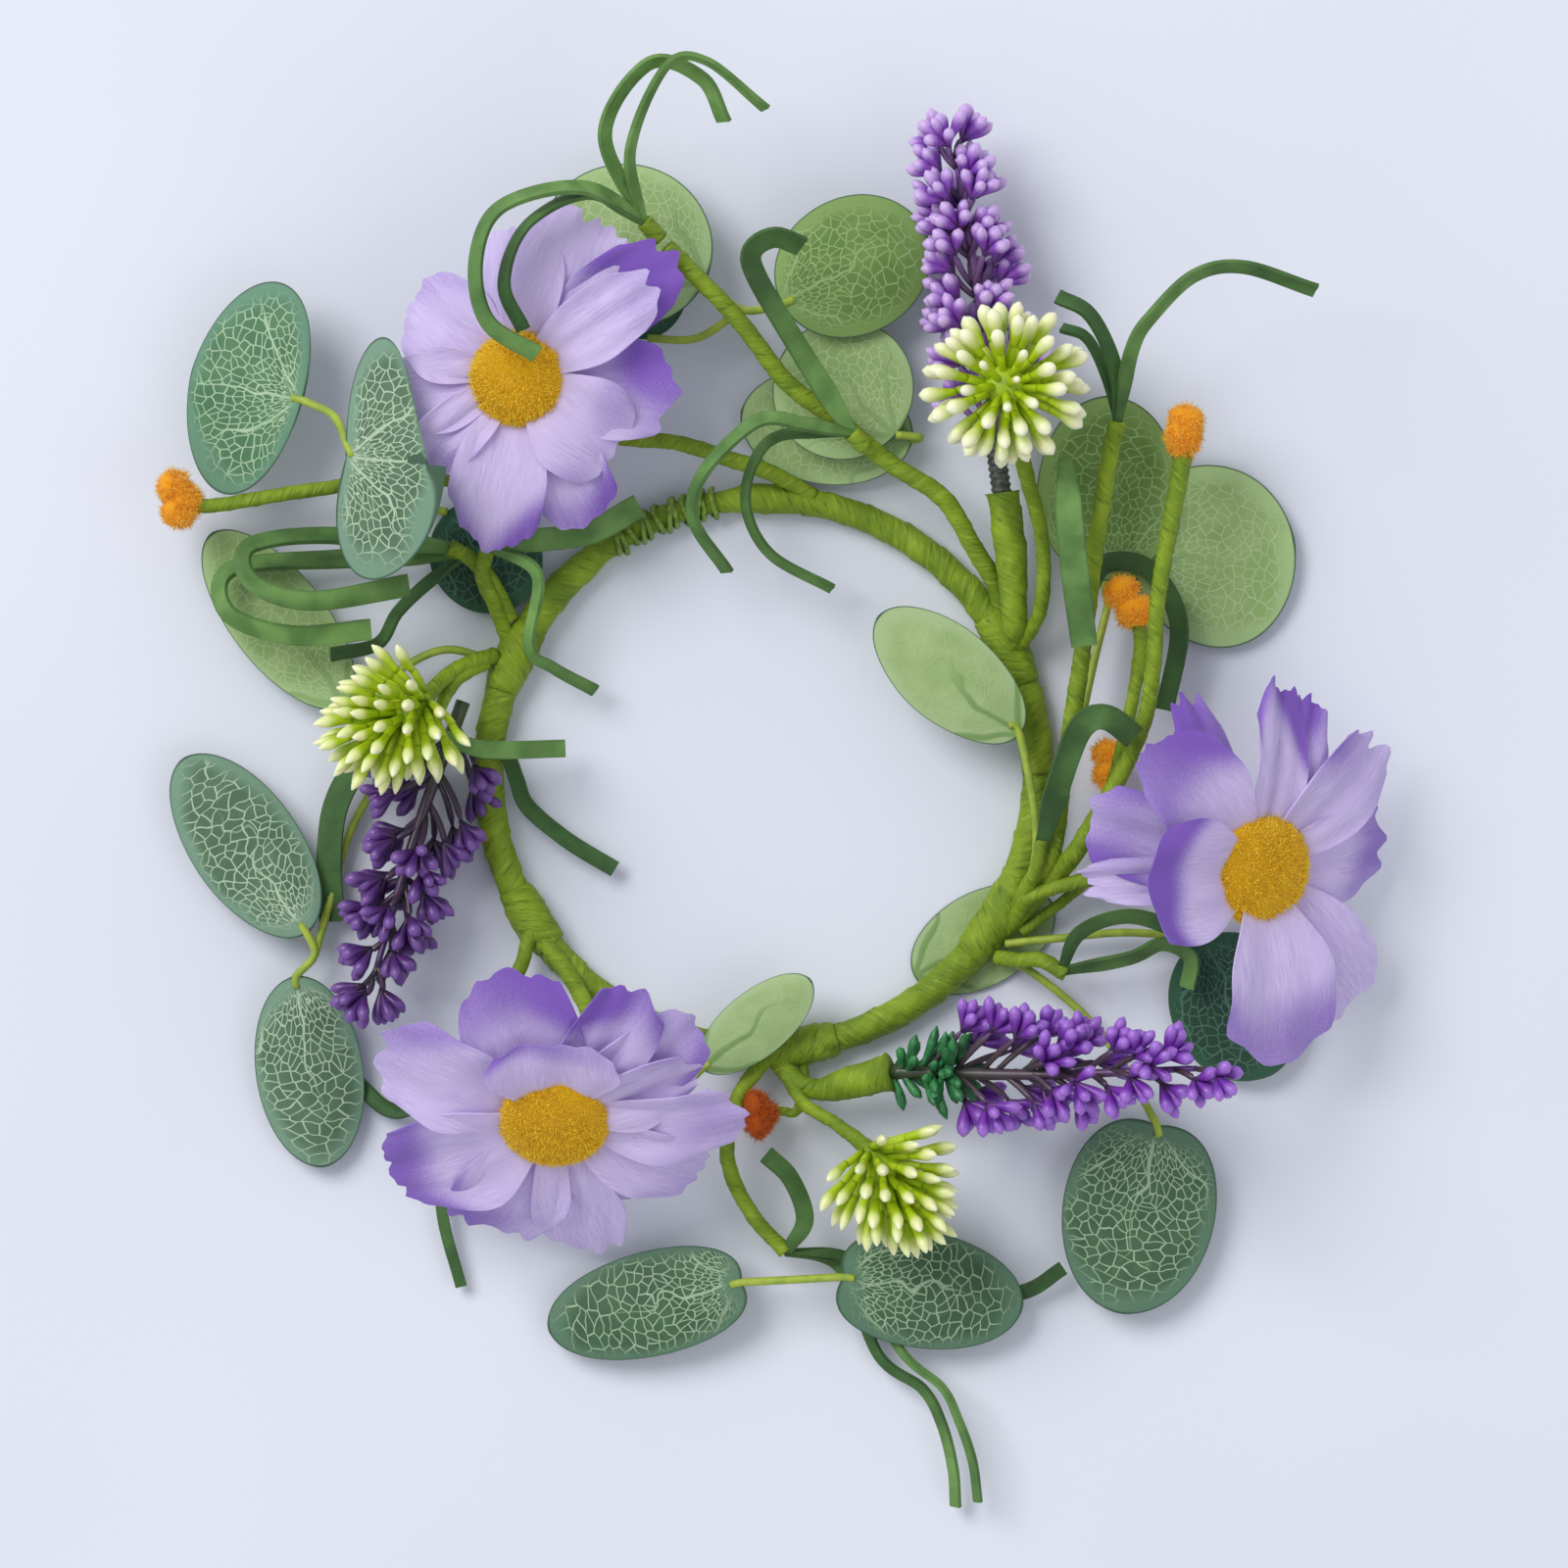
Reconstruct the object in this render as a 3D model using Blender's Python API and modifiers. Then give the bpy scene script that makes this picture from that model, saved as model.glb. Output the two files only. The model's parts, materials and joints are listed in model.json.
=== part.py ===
"""Flower crown: a small wreath of fabric daisies, lavender, bud balls, leaves and grass.

The crown lies flat, as it rests on a table: +Z is up and z = 0 is the table. A taped wire
hoop carries every stem. All sizes in this file are millimetres, measured from the hoop's
centre, until to_metres() puts them in the part's own frame.
"""

import math

import bmesh
import bpy
from mathutils import Matrix, Vector

# ---------------------------------------------------------------- driving dimensions (mm)
GAP = 0.3  # clearance between pieces that touch on the real crown

HOOP_RADIUS = 50.0  # centre line of the taped hoop
HOOP_CENTRE = (-3.7, 2.4)
TAPE_RADIUS = 2.9
LAP_RADIUS = 1.5  # the taped tube is thinner where its two ends are bound together
BORE_RADIUS = 1.05
CORE_RADIUS = 0.7
HOOP_HEIGHT = 2.6  # centre line above the table; the tube's underside is cut flat at z = 0
LAP_ANGLE = 112.0  # degrees, where the two ends of the hoop meet
LAP_HALF = 13.0  # degrees of hoop on each side of it under the binding wire
LAP_TURNS = 12
LAP_WIRE_RADIUS = 0.4

STEM_RADIUS = 1.3
STRIP_THICKNESS = 0.6
LEAF_THICKNESS = 0.6

PETAL_RADIUS = 35.0
PETAL_COUNT = 6  # in each of a daisy's two layers
PETAL_THICKNESS = 0.6
PETAL_HOLE = 2.0
PEG_RADIUS = 1.0
DISC_RADIUS = 9.6
DISC_HEIGHT = 5.0

# ---------------------------------------------------------------- materials
MATERIALS = {
    "steel_wire": ((0.30, 0.31, 0.30), 0.4, 0.9),
    "floral_tape": ((0.30, 0.45, 0.04), 0.75, 0.0),
    "dark_wire": ((0.10, 0.18, 0.03), 0.5, 0.3),
    "lilac_fabric": ((0.58, 0.45, 0.80), 0.9, 0.0),
    "gold_flock": ((0.78, 0.45, 0.02), 1.0, 0.0),
    "purple_plastic": ((0.25, 0.07, 0.45), 0.45, 0.0),
    "cream_plastic": ((0.80, 0.86, 0.52), 0.4, 0.0),
    "orange_flock": ((0.90, 0.28, 0.01), 1.0, 0.0),
    "leaf_fabric": ((0.10, 0.28, 0.14), 0.7, 0.0),
    "grass_foam": ((0.09, 0.22, 0.05), 0.65, 0.0),
}


def clear_scene():
    for found in list(bpy.data.objects):
        bpy.data.objects.remove(found)


def new_collection(name):
    made = bpy.data.collections.new(name)
    bpy.context.scene.collection.children.link(made)
    return made


def material(name):
    made = bpy.data.materials.get(name)
    if made is None:
        colour, roughness, metallic = MATERIALS[name]
        made = bpy.data.materials.new(name)
        made.use_nodes = True
        shader = made.node_tree.nodes["Principled BSDF"]
        shader.inputs["Base Color"].default_value = (*colour, 1.0)
        shader.inputs["Roughness"].default_value = roughness
        shader.inputs["Metallic"].default_value = metallic
        made.diffuse_color = (*colour, 1.0)
    return made


def to_metres(point):
    """A point in millimetres from the hoop's centre, in metres in the part's frame."""
    x, y, z = point[:3]
    return Vector((x + HOOP_CENTRE[0], y + HOOP_CENTRE[1], z)) * 0.001


# ---------------------------------------------------------------- objects from meshes
def place(made, name, slot, parent=None):
    """Names an object, gives it its material, and hangs it on its joint's empty."""
    made.name = name
    made.data.name = name
    made.data.materials.clear()
    made.data.materials.append(material(slot))
    for linked in list(made.users_collection):
        linked.objects.unlink(made)
    CROWN.objects.link(made)
    if parent is not None:
        made.parent = parent
        made.matrix_parent_inverse = Matrix.Identity(4)
        made.matrix_basis = parent_world(parent).inverted() @ made.matrix_basis
    return made


def parent_world(empty):
    """Where an empty stands in the world, without waiting for the scene to update."""
    if empty.parent is None:
        return empty.matrix_basis.copy()
    return parent_world(empty.parent) @ empty.matrix_basis


def object_from(bm, name):
    """An object in metres from a bmesh in millimetres about the hoop's centre."""
    bmesh.ops.recalc_face_normals(bm, faces=bm.faces)
    for vertex in bm.verts:
        vertex.co = to_metres(vertex.co)
    mesh = bpy.data.meshes.new(name)
    bm.to_mesh(mesh)
    bm.free()
    made = bpy.data.objects.new(name, mesh)
    CROWN.objects.link(made)
    return made


def move_origin(made, point):
    """Puts a mesh object's origin at a point in metres and leaves its shape where it is."""
    made.data.transform(Matrix.Translation(-point))
    made.matrix_basis = Matrix.Translation(point)
    return made


def shade(made, angle=40.0):
    made.data.shade_smooth()
    made.data.set_sharp_from_angle(angle=math.radians(angle))
    return made


def joint_empty(name, point, parent=None):
    """An empty on a joint's axis, which carries the pieces that the joint moves."""
    empty = bpy.data.objects.new(name, None)
    CROWN.objects.link(empty)
    empty.empty_display_size = 0.01
    empty.matrix_basis = Matrix.Translation(to_metres(point))
    if parent is not None:
        empty.matrix_basis = parent_world(parent).inverted() @ empty.matrix_basis
        empty.parent = parent
    return empty


# ---------------------------------------------------------------- paths
def smooth_path(controls, step):
    """Points about step apart on a smooth curve through the control points.

    Every number of a control point is interpolated, so a point can also carry a radius,
    or a half width and a roll.
    """
    controls = [Vector(c) for c in controls]
    points = []
    for i in range(len(controls) - 1):
        p1 = controls[i]
        p2 = controls[i + 1]
        p0 = controls[i - 1] if i > 0 else p1 * 2 - p2
        p3 = controls[i + 2] if i + 2 < len(controls) else p2 * 2 - p1
        count = max(1, round((p2 - p1).length / step))
        for k in range(count):
            t = k / count
            a = p1 * 2
            b = (p2 - p0) * t
            c = (p0 * 2 - p1 * 5 + p2 * 4 - p3) * t * t
            d = (p1 * 3 - p0 - p2 * 3 + p3) * t * t * t
            points.append((a + b + c + d) * 0.5)
    points.append(controls[-1])
    return points


def tangents(points):
    """The unit direction of a path at each of its points."""
    last = len(points) - 1
    directions = []
    for i in range(last + 1):
        ahead = Vector(points[min(i + 1, last)][:3])
        behind = Vector(points[max(i - 1, 0)][:3])
        directions.append((ahead - behind).normalized())
    return directions


# ---------------------------------------------------------------- rods and stems
def tube(name, points, sides=6):
    """A mesh tube through points of (x, y, z, radius), with closed ends."""
    curve = bpy.data.curves.new(name, "CURVE")
    curve.dimensions = "3D"
    curve.bevel_depth = 0.001
    curve.bevel_resolution = (sides - 4) // 2
    curve.use_fill_caps = True
    line = curve.splines.new("POLY")
    line.points.add(len(points) - 1)
    for vertex, point in zip(line.points, points):
        vertex.co = (*to_metres(point), 1.0)
        vertex.radius = point[3]
    made = bpy.data.objects.new(name, curve)
    CROWN.objects.link(made)
    return mesh_of(made)


def mesh_of(source):
    """The evaluated shape of an object as a new mesh object; the source is removed."""
    bpy.context.view_layer.update()
    graph = bpy.context.evaluated_depsgraph_get()
    mesh = bpy.data.meshes.new_from_object(source.evaluated_get(graph))
    bm = bmesh.new()
    bm.from_mesh(mesh)
    bmesh.ops.remove_doubles(bm, verts=bm.verts, dist=1e-6)
    bm.to_mesh(mesh)
    bm.free()
    made = bpy.data.objects.new(source.name, mesh)
    made.matrix_basis = source.matrix_world.copy()
    CROWN.objects.link(made)
    bpy.data.objects.remove(source)
    return made


def combine(base, others, operation):
    """Applies a Boolean between one mesh object and several others, which are removed."""
    for other in others:
        step = base.modifiers.new("combine", "BOOLEAN")
        step.operation = operation
        step.object = other
        base = mesh_of(base)
        bpy.data.objects.remove(other)
    return base


def stem(name, slot, controls, sides=6, step=7.0, parent=None, pivot=None):
    """A wired stem, or any round rod whose radius changes along its length."""
    points = smooth_path(controls, step)
    made = tube(name, points, sides)
    move_origin(made, to_metres(pivot or controls[0]))
    return place(shade(made, 50.0), name, slot, parent)


# ---------------------------------------------------------------- sheets: strips and leaves
def sheet(name, rows, thickness):
    """A thin closed plate from rows of points that all have the same number of points."""
    across = len(rows[0])
    bm = bmesh.new()
    bmesh.ops.create_grid(bm, x_segments=across - 1, y_segments=len(rows) - 1, size=1.0)
    bm.verts.ensure_lookup_table()
    for index, vertex in enumerate(bm.verts):
        vertex.co = rows[index // across][index % across]
    made = object_from(bm, name)
    skin = made.modifiers.new("thickness", "SOLIDIFY")
    skin.thickness = thickness * 0.001
    skin.offset = 0.0
    return mesh_of(made)


def across_vectors(points, rolls):
    """For each point of a path, the direction across the sheet and the sheet's normal."""
    pairs = []
    previous = None
    for direction, roll in zip(tangents(points), rolls):
        flat = Vector((-direction.y, direction.x, 0.0))
        if flat.length < 0.05 and previous is not None:
            flat = previous
        flat.normalize()
        previous = flat.copy()
        flat.rotate(Matrix.Rotation(math.radians(roll), 3, direction))
        pairs.append((flat, direction.cross(flat)))
    return pairs


def strip_rows(controls, width, roll=(0.0, 0.0), step=6.5):
    """Rows of a flat grass strip of constant width, square-cut at both ends."""
    points = smooth_path(controls, step)
    last = len(points) - 1
    rolls = [roll[0] + (roll[1] - roll[0]) * i / last for i in range(last + 1)]
    rows = []
    for point, (side, _) in zip(points, across_vectors(points, rolls)):
        centre = Vector(point[:3])
        rows.append([centre - side * width / 2, centre + side * width / 2])
    return rows


def strip(name, controls, width=3.2, roll=(0.0, 0.0), step=6.5):
    return sheet(name, strip_rows(controls, width, roll, step), STRIP_THICKNESS)


# Where the columns of a leaf's surface lie, from one edge to the other.
LEAF_COLUMNS = (-1.0, -0.5, 0.0, 0.5, 1.0)
LEAF_ROWS = 6


def leaf_rows(base, tip, half_width, roll=0.0, cup=0.0, arch=0.0, lobe=0.0, blunt=1.0):
    """Rows of a rounded leaf from the end of its stalk to its far edge.

    cup lifts the two edges, arch lifts the middle, and lobe sweeps the two sides back
    past the stalk, as on a kidney-shaped leaf.
    """
    base = Vector(base)
    tip = Vector(tip)
    along = (tip - base).normalized()
    (side, normal) = across_vectors([base, tip], [roll, roll])[0]
    rows = []
    for i in range(LEAF_ROWS + 1):
        turn = math.pi * i / LEAF_ROWS
        t = (1.0 - math.cos(turn)) / 2.0
        half = max(half_width * math.sin(turn) ** blunt, 0.5)
        centre = base.lerp(tip, t) + normal * arch * math.sin(math.pi * t)
        row = []
        for column in LEAF_COLUMNS:
            back = along * lobe * column * column * (1.0 - t) * (half / half_width)
            lift = normal * cup * column * column * (half / half_width)
            row.append(centre + side * half * column + lift - back)
        rows.append(row)
    return rows


def stalk_rows(controls, width=1.4, step=9.0):
    """Rows of a leaf's narrow stalk, with as many points across as the leaf has."""
    points = smooth_path(controls, step)
    rows = []
    for point, (side, _) in zip(points, across_vectors(points, [0.0] * len(points))):
        centre = Vector(point[:3])
        rows.append([centre + side * width / 2 * column for column in LEAF_COLUMNS])
    return rows


def place_still(made, name, slot, pivot):
    move_origin(made, to_metres(pivot))
    return place(shade(made), name, slot)


def stalk_sheet(leaf, stalk):
    """The sheet of one leaf and its stalk."""
    rows = stalk_rows([*stalk, leaf["base"]])[:-1] + leaf_rows(**leaf)
    return sheet("leaf", rows, LEAF_THICKNESS)


def pair_sheet(first, second, stalk):
    """The sheet of two leaves at the two ends of one folded stalk."""
    between = stalk_rows([first["base"], *stalk, second["base"]])[1:-1]
    rows = mirrored(leaf_rows(**first)) + between + leaf_rows(**second)
    return sheet("leaves", rows, LEAF_THICKNESS)


def leaf_on_stalk(name, leaf, stalk):
    return place_still(stalk_sheet(leaf, stalk), name, "leaf_fabric", stalk[0])


def leaf_pair(name, first, second, stalk):
    return place_still(pair_sheet(first, second, stalk), name, "leaf_fabric", stalk[0])


def mirrored(rows):
    """Rows in reverse order, each turned end for end, so a sheet runs the other way."""
    return [row[::-1] for row in rows[::-1]]


def fused(name, slot, pieces, pivot):
    """Several closed pieces joined into one by Boolean unions."""
    return place_still(combine(pieces[0], pieces[1:], "UNION"), name, slot, pivot)


# ---------------------------------------------------------------- hoop
def hoop_point(angle, radius=HOOP_RADIUS, height=HOOP_HEIGHT):
    turn = math.radians(angle)
    return Vector((radius * math.cos(turn), radius * math.sin(turn), height))


def hoop_tube(name, start, end, steps, radius_at, sides):
    """A tube along the hoop's centre line, with a radius that depends on the angle."""
    points = []
    for i in range(steps + 1):
        angle = start + (end - start) * i / steps
        points.append((*hoop_point(angle), radius_at(angle)))
    return tube(name, points, sides)


def table_cutter():
    """A box whose top is the table, for cutting a piece off flat at z = 0."""
    bm = bmesh.new()
    bmesh.ops.create_cube(bm, size=1.0)
    bmesh.ops.scale(bm, vec=(300.0, 300.0, 20.0), verts=bm.verts)
    bmesh.ops.translate(bm, vec=(0.0, 0.0, -10.0), verts=bm.verts)
    return object_from(bm, "table_cutter")


def tape_radius(angle):
    """The taped tube narrows under the binding wire."""
    away = abs((angle - LAP_ANGLE + 180.0) % 360.0 - 180.0)
    blend = min(max((away - LAP_HALF - 6.0) / 5.0, 0.0), 1.0)
    return LAP_RADIUS + (TAPE_RADIUS - LAP_RADIUS) * blend


def build_hoop():
    start = LAP_ANGLE + 1.0
    end = LAP_ANGLE + 359.0
    outer = hoop_tube("ring_tape_wrap", start, end, 54, tape_radius, 8)
    bore = hoop_tube("bore", start - 1.2, end + 1.2, 54, lambda angle: BORE_RADIUS, 6)
    tape = combine(outer, [bore, table_cutter()], "DIFFERENCE")
    place_still(tape, "ring_tape_wrap", "floral_tape", (0.0, 0.0, 0.0))
    core = hoop_tube("core", start + 0.5, end - 0.5, 54, lambda angle: CORE_RADIUS, 4)
    place_still(core, "ring_core_wire", "steel_wire", (0.0, 0.0, 0.0))


def build_lap_wire():
    """Wire wound round both ends of the hoop, with uneven spaces between its turns."""
    winding_radius = LAP_RADIUS + LAP_WIRE_RADIUS + 0.25
    per_turn = 8
    points = []
    for i in range(LAP_TURNS * per_turn + 1):
        turn = i / per_turn
        crowd = 0.9 * math.sin(turn * math.tau / 3.0)
        angle = LAP_ANGLE - LAP_HALF + 0.8 + (turn + crowd * 0.35) * (
            (2 * LAP_HALF - 1.6) / LAP_TURNS
        )
        out = Vector((math.cos(math.radians(angle)), math.sin(math.radians(angle)), 0.0))
        wind = turn * math.tau
        offset = out * math.cos(wind) + Vector((0.0, 0.0, math.sin(wind)))
        points.append((*(hoop_point(angle) + offset * winding_radius), LAP_WIRE_RADIUS))
    made = tube("lap_binding_wire", points, 4)
    place_still(made, "lap_binding_wire", "dark_wire", hoop_point(LAP_ANGLE))


# Tape collars that hold the sprays on the hoop: name, angle, half length in degrees.
COLLARS = (
    ("binding_right_upper", 27.0, 4.5),
    ("binding_right_lower", -32.0, 6.0),
    ("binding_bottom", -84.0, 6.0),
    ("binding_left", 155.0, 4.0),
    ("binding_lower_left", 212.0, 3.5),
)
COLLAR_THICKNESS = 0.9


def build_collar(name, angle, half):
    """A sleeve of tape round the hoop, open at the bottom where the hoop rests."""
    inner = TAPE_RADIUS + GAP
    outer = inner + COLLAR_THICKNESS
    body = hoop_tube(name, angle - half, angle + half, 4, lambda a: outer, 10)
    hole = hoop_tube("hole", angle - half - 2, angle + half + 2, 6, lambda a: inner, 10)
    made = combine(body, [hole, table_cutter()], "DIFFERENCE")
    place_still(made, name, "floral_tape", hoop_point(angle))


# ---------------------------------------------------------------- daisies
def petal_reach(angle, phase):
    """How far the rosette's outline is from its centre, as a share of its radius."""
    turn = (angle + phase) * PETAL_COUNT / math.tau
    offset = abs((turn % 1.0) * 2.0 - 1.0)
    return 0.3 + 0.7 * (1.0 - offset**3) ** 0.5


def petal_layer(name, radius, phase, height, lift, head):
    """One layer of a daisy: a ring of joined petals, turned on the head's own axis."""
    columns = PETAL_COUNT * 4
    shares = (0.0, 0.4, 0.75, 1.0)
    bm = bmesh.new()
    bmesh.ops.create_grid(bm, x_segments=columns, y_segments=len(shares) - 1, size=1.0)
    bm.verts.ensure_lookup_table()
    for index, vertex in enumerate(bm.verts):
        angle = math.tau * (index % (columns + 1)) / columns
        share = shares[index // (columns + 1)]
        reach = radius * petal_reach(angle, phase)
        r = PETAL_HOLE + (reach - PETAL_HOLE) * share
        z = height + lift * (r / radius) ** 2
        vertex.co = Vector((r * math.cos(angle), r * math.sin(angle), z)) * 0.001
    bmesh.ops.remove_doubles(bm, verts=bm.verts, dist=1e-6)
    bmesh.ops.recalc_face_normals(bm, faces=bm.faces)
    mesh = bpy.data.meshes.new(name)
    bm.to_mesh(mesh)
    bm.free()
    made = bpy.data.objects.new(name, mesh)
    CROWN.objects.link(made)
    skin = made.modifiers.new("thickness", "SOLIDIFY")
    skin.thickness = PETAL_THICKNESS * 0.001
    skin.offset = 0.0
    made.matrix_basis = parent_world(head)
    place(shade(made), name, "lilac_fabric", head)


def disc(name, head):
    """The domed flocked centre, turned on its axis, with a socket for the stem's peg."""
    floor = 2.9
    socket = PEG_RADIUS + GAP
    profile = [(0.0, floor + DISC_HEIGHT)]
    for i in range(1, 5):
        turn = math.pi / 2 * i / 4
        profile.append(
            (DISC_RADIUS * math.sin(turn), floor + 0.8 + (DISC_HEIGHT - 0.8) * math.cos(turn))
        )
    profile += [(DISC_RADIUS - 0.8, floor), (socket, floor), (socket, floor + 2.4)]
    profile.append((0.0, floor + 2.4))
    bm = bmesh.new()
    line = [bm.verts.new((x * 0.001, 0.0, z * 0.001)) for x, z in profile]
    for first, second in zip(line, line[1:]):
        bm.edges.new((first, second))
    mesh = bpy.data.meshes.new(name)
    bm.to_mesh(mesh)
    bm.free()
    made = bpy.data.objects.new(name, mesh)
    CROWN.objects.link(made)
    turned = made.modifiers.new("turn", "SCREW")
    turned.steps = 16
    turned.render_steps = 16
    turned.use_merge_vertices = True
    turned.merge_threshold = 0.00001
    made.matrix_basis = parent_world(head)
    place(made, name, "gold_flock", head)


def build_daisy(where, root, path, centre, facing, phase, radius=PETAL_RADIUS):
    """A daisy: a wired stem ending in a calyx and a peg, and the head that turns on it."""
    bend = joint_empty(f"daisy_{where}_bend", root)
    centre = Vector(centre)
    facing = Vector(facing).normalized()
    head = joint_empty(f"daisy_{where}_head", centre, bend)
    tilt = facing.to_track_quat("Z", "Y").to_matrix().to_4x4()
    head.matrix_basis = head.matrix_basis @ tilt
    below = [(12.0, STEM_RADIUS), (4.0, 1.5), (2.6, 3.6), (1.4, 3.6), (1.2, PEG_RADIUS)]
    calyx = [(*(centre - facing * down), radius_there) for down, radius_there in below]
    peg = (*(centre + facing * 4.6), PEG_RADIUS)
    points = smooth_path([*path, calyx[0]], 6.0)[:-1] + [Vector(p) for p in (*calyx, peg)]
    made = tube(f"daisy_{where}_stem", points, 6)
    move_origin(made, to_metres(root))
    place(shade(made), f"daisy_{where}_stem", "floral_tape", bend)
    petal_layer(f"daisy_{where}_petals_back", radius, phase, 0.0, -2.0, head)
    half_step = math.pi / PETAL_COUNT
    petal_layer(f"daisy_{where}_petals_front", radius * 0.93, phase + half_step, 1.8, 1.5, head)
    disc(f"daisy_{where}_disc", head)


# ---------------------------------------------------------------- moulded plastic sprigs
def grow(bm, face, steps):
    """Pushes one face out through (distance, size, drift) steps, as a moulded bud grows."""
    for distance, size, drift in steps:
        made = bmesh.ops.extrude_discrete_faces(bm, faces=[face])
        face = made["faces"][0]
        move = face.normal * distance + Vector(drift)
        bmesh.ops.translate(bm, vec=move, verts=face.verts)
        middle = face.calc_center_median()
        bmesh.ops.scale(
            bm, vec=(size, size, size), verts=face.verts, space=Matrix.Translation(-middle)
        )


def spike(name, base, tip, rows, start, reach, parent, pivot):
    """A lavender spike: a tapering rod with florets that lean towards its tip."""
    base = Vector(base)
    tip = Vector(tip)
    length = (tip - base).length
    bm = bmesh.new()
    bmesh.ops.create_cone(
        bm, cap_ends=True, segments=6, radius1=1.5, radius2=0.7, depth=length,
        matrix=Matrix.Translation((0.0, 0.0, length / 2)),
    )
    uprights = [e for e in bm.edges if abs(e.verts[0].co.z - e.verts[1].co.z) > length / 2]
    bmesh.ops.subdivide_edges(bm, edges=uprights, cuts=rows - 1)
    bm.normal_update()
    row_height = length / rows
    chosen = []
    for face in bm.faces:
        middle = face.calc_center_median()
        row = int(middle.z / row_height)
        side = round(math.atan2(middle.y, middle.x) / math.radians(60.0) + 0.5)
        upright = abs(face.normal.z) < 0.5
        if upright and middle.z > start * length and (row + side) % 2 == 0:
            chosen.append((face, middle.z / length))
    for face, share in chosen:
        out = reach * (1.0 - 0.45 * share)
        lean = (0.0, 0.0, out * 0.42)
        grow(bm, face, ((out * 0.4, 0.55, lean), (out * 0.35, 2.3, lean), (out * 0.25, 0.5, lean)))
    turn = (tip - base).to_track_quat("Z", "Y").to_matrix().to_4x4()
    bmesh.ops.transform(bm, matrix=Matrix.Translation(base) @ turn, verts=bm.verts)
    made = object_from(bm, name)
    move_origin(made, to_metres(pivot))
    return place(shade(made, 30.0), name, "purple_plastic", parent)


def bud_head(name, centre, facing, reach, parent, pivot, spread=-0.25):
    """A bud ball: a small hub with club-shaped buds all round its front."""
    facing = Vector(facing).normalized()
    bm = bmesh.new()
    bmesh.ops.create_icosphere(bm, subdivisions=2, radius=4.2)
    bm.faces.ensure_lookup_table()
    bm.normal_update()
    chosen = []
    for index, face in enumerate(bm.faces):
        if face.normal.z > spread and index % 3 == 0:
            chosen.append(face)
    still = (0.0, 0.0, 0.0)
    for face in chosen:
        stalk = (reach - 4.2) * 0.5
        club = (reach - 4.2) * 0.35
        end = (reach - 4.2) * 0.15
        grow(bm, face, ((stalk, 0.5, still), (club, 1.9, still), (end, 0.5, still)))
    turn = facing.to_track_quat("Z", "Y").to_matrix().to_4x4()
    bmesh.ops.transform(bm, matrix=Matrix.Translation(centre) @ turn, verts=bm.verts)
    made = object_from(bm, name)
    move_origin(made, to_metres(pivot))
    return place(shade(made, 30.0), name, "cream_plastic", parent)


def build_bud_ball(where, root, path, centre, facing, reach, spread):
    bend = joint_empty(f"bud_ball_{where}_bend", root)
    stem(f"bud_ball_{where}_stem", "floral_tape", path, parent=bend, pivot=root)
    bud_head(f"bud_ball_{where}_head", centre, facing, reach, bend, root, spread)


# ---------------------------------------------------------------- the crown's own pieces
def build_daisies():
    build_daisy(
        "upper_left", (-6.0, 57.0, 9.0),
        [(-6.0, 57.0, 9.0, 1.5), (-16.0, 60.0, 10.5, 1.4), (-30.0, 62.0, 11.5, STEM_RADIUS)],
        (-44.0, 71.5, 24.0), (-0.10, -0.12, 1.0), 0.35, 30.5,
    )
    build_daisy(
        "right", (49.0, -22.0, 9.0),
        [(49.0, -22.0, 9.0, 1.5), (58.0, -19.5, 10.5, 1.4), (70.0, -17.5, 13.0, STEM_RADIUS)],
        (88.0, -17.0, 24.5), (0.70, -0.25, 1.0), 0.15,
    )
    build_daisy(
        "lower_left", (-31.0, -46.0, 9.0),
        [(-31.0, -46.0, 9.0, 1.5), (-33.5, -49.0, 12.0, 1.4)],
        (-37.5, -60.5, 28.0), (0.0, -0.80, 1.0), 0.05,
    )


def build_lavender():
    root = (45.5, 28.5, 9.0)
    bend = joint_empty("lavender_top_bend", root)
    sleeve = [(45.5, 28.5, 9.0, 2.2), (45.0, 39.0, 10.0, 3.0), (43.5, 50.5, 11.0, 3.0)]
    stem("lavender_top_stem", "floral_tape", sleeve, parent=bend, pivot=root)
    spike("lavender_top_spike", (43.2, 51.3, 11.1), (34.5, 118.0, 15.0), 10, 0.2, 11.5, bend, root)

    root = (9.5, -57.5, 7.0)
    bend = joint_empty("lavender_right_bend", root)
    sleeve = [(9.5, -57.5, 7.0, 1.8), (14.5, -56.5, 8.5, 3.0), (22.5, -54.5, 11.0, 3.2)]
    stem("lavender_right_stem", "floral_tape", sleeve, parent=bend, pivot=root)
    spike(
        "lavender_right_spike", (23.3, -54.2, 11.4), (85.5, -53.0, 38.0), 10, 0.1, 10.5, bend, root
    )

    root = (-54.5, 13.0, 9.0)
    bend = joint_empty("lavender_left_bend", root)
    spike("lavender_left_spike", root, (-73.0, -43.5, 13.0), 10, 0.2, 9.5, bend, root)


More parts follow.
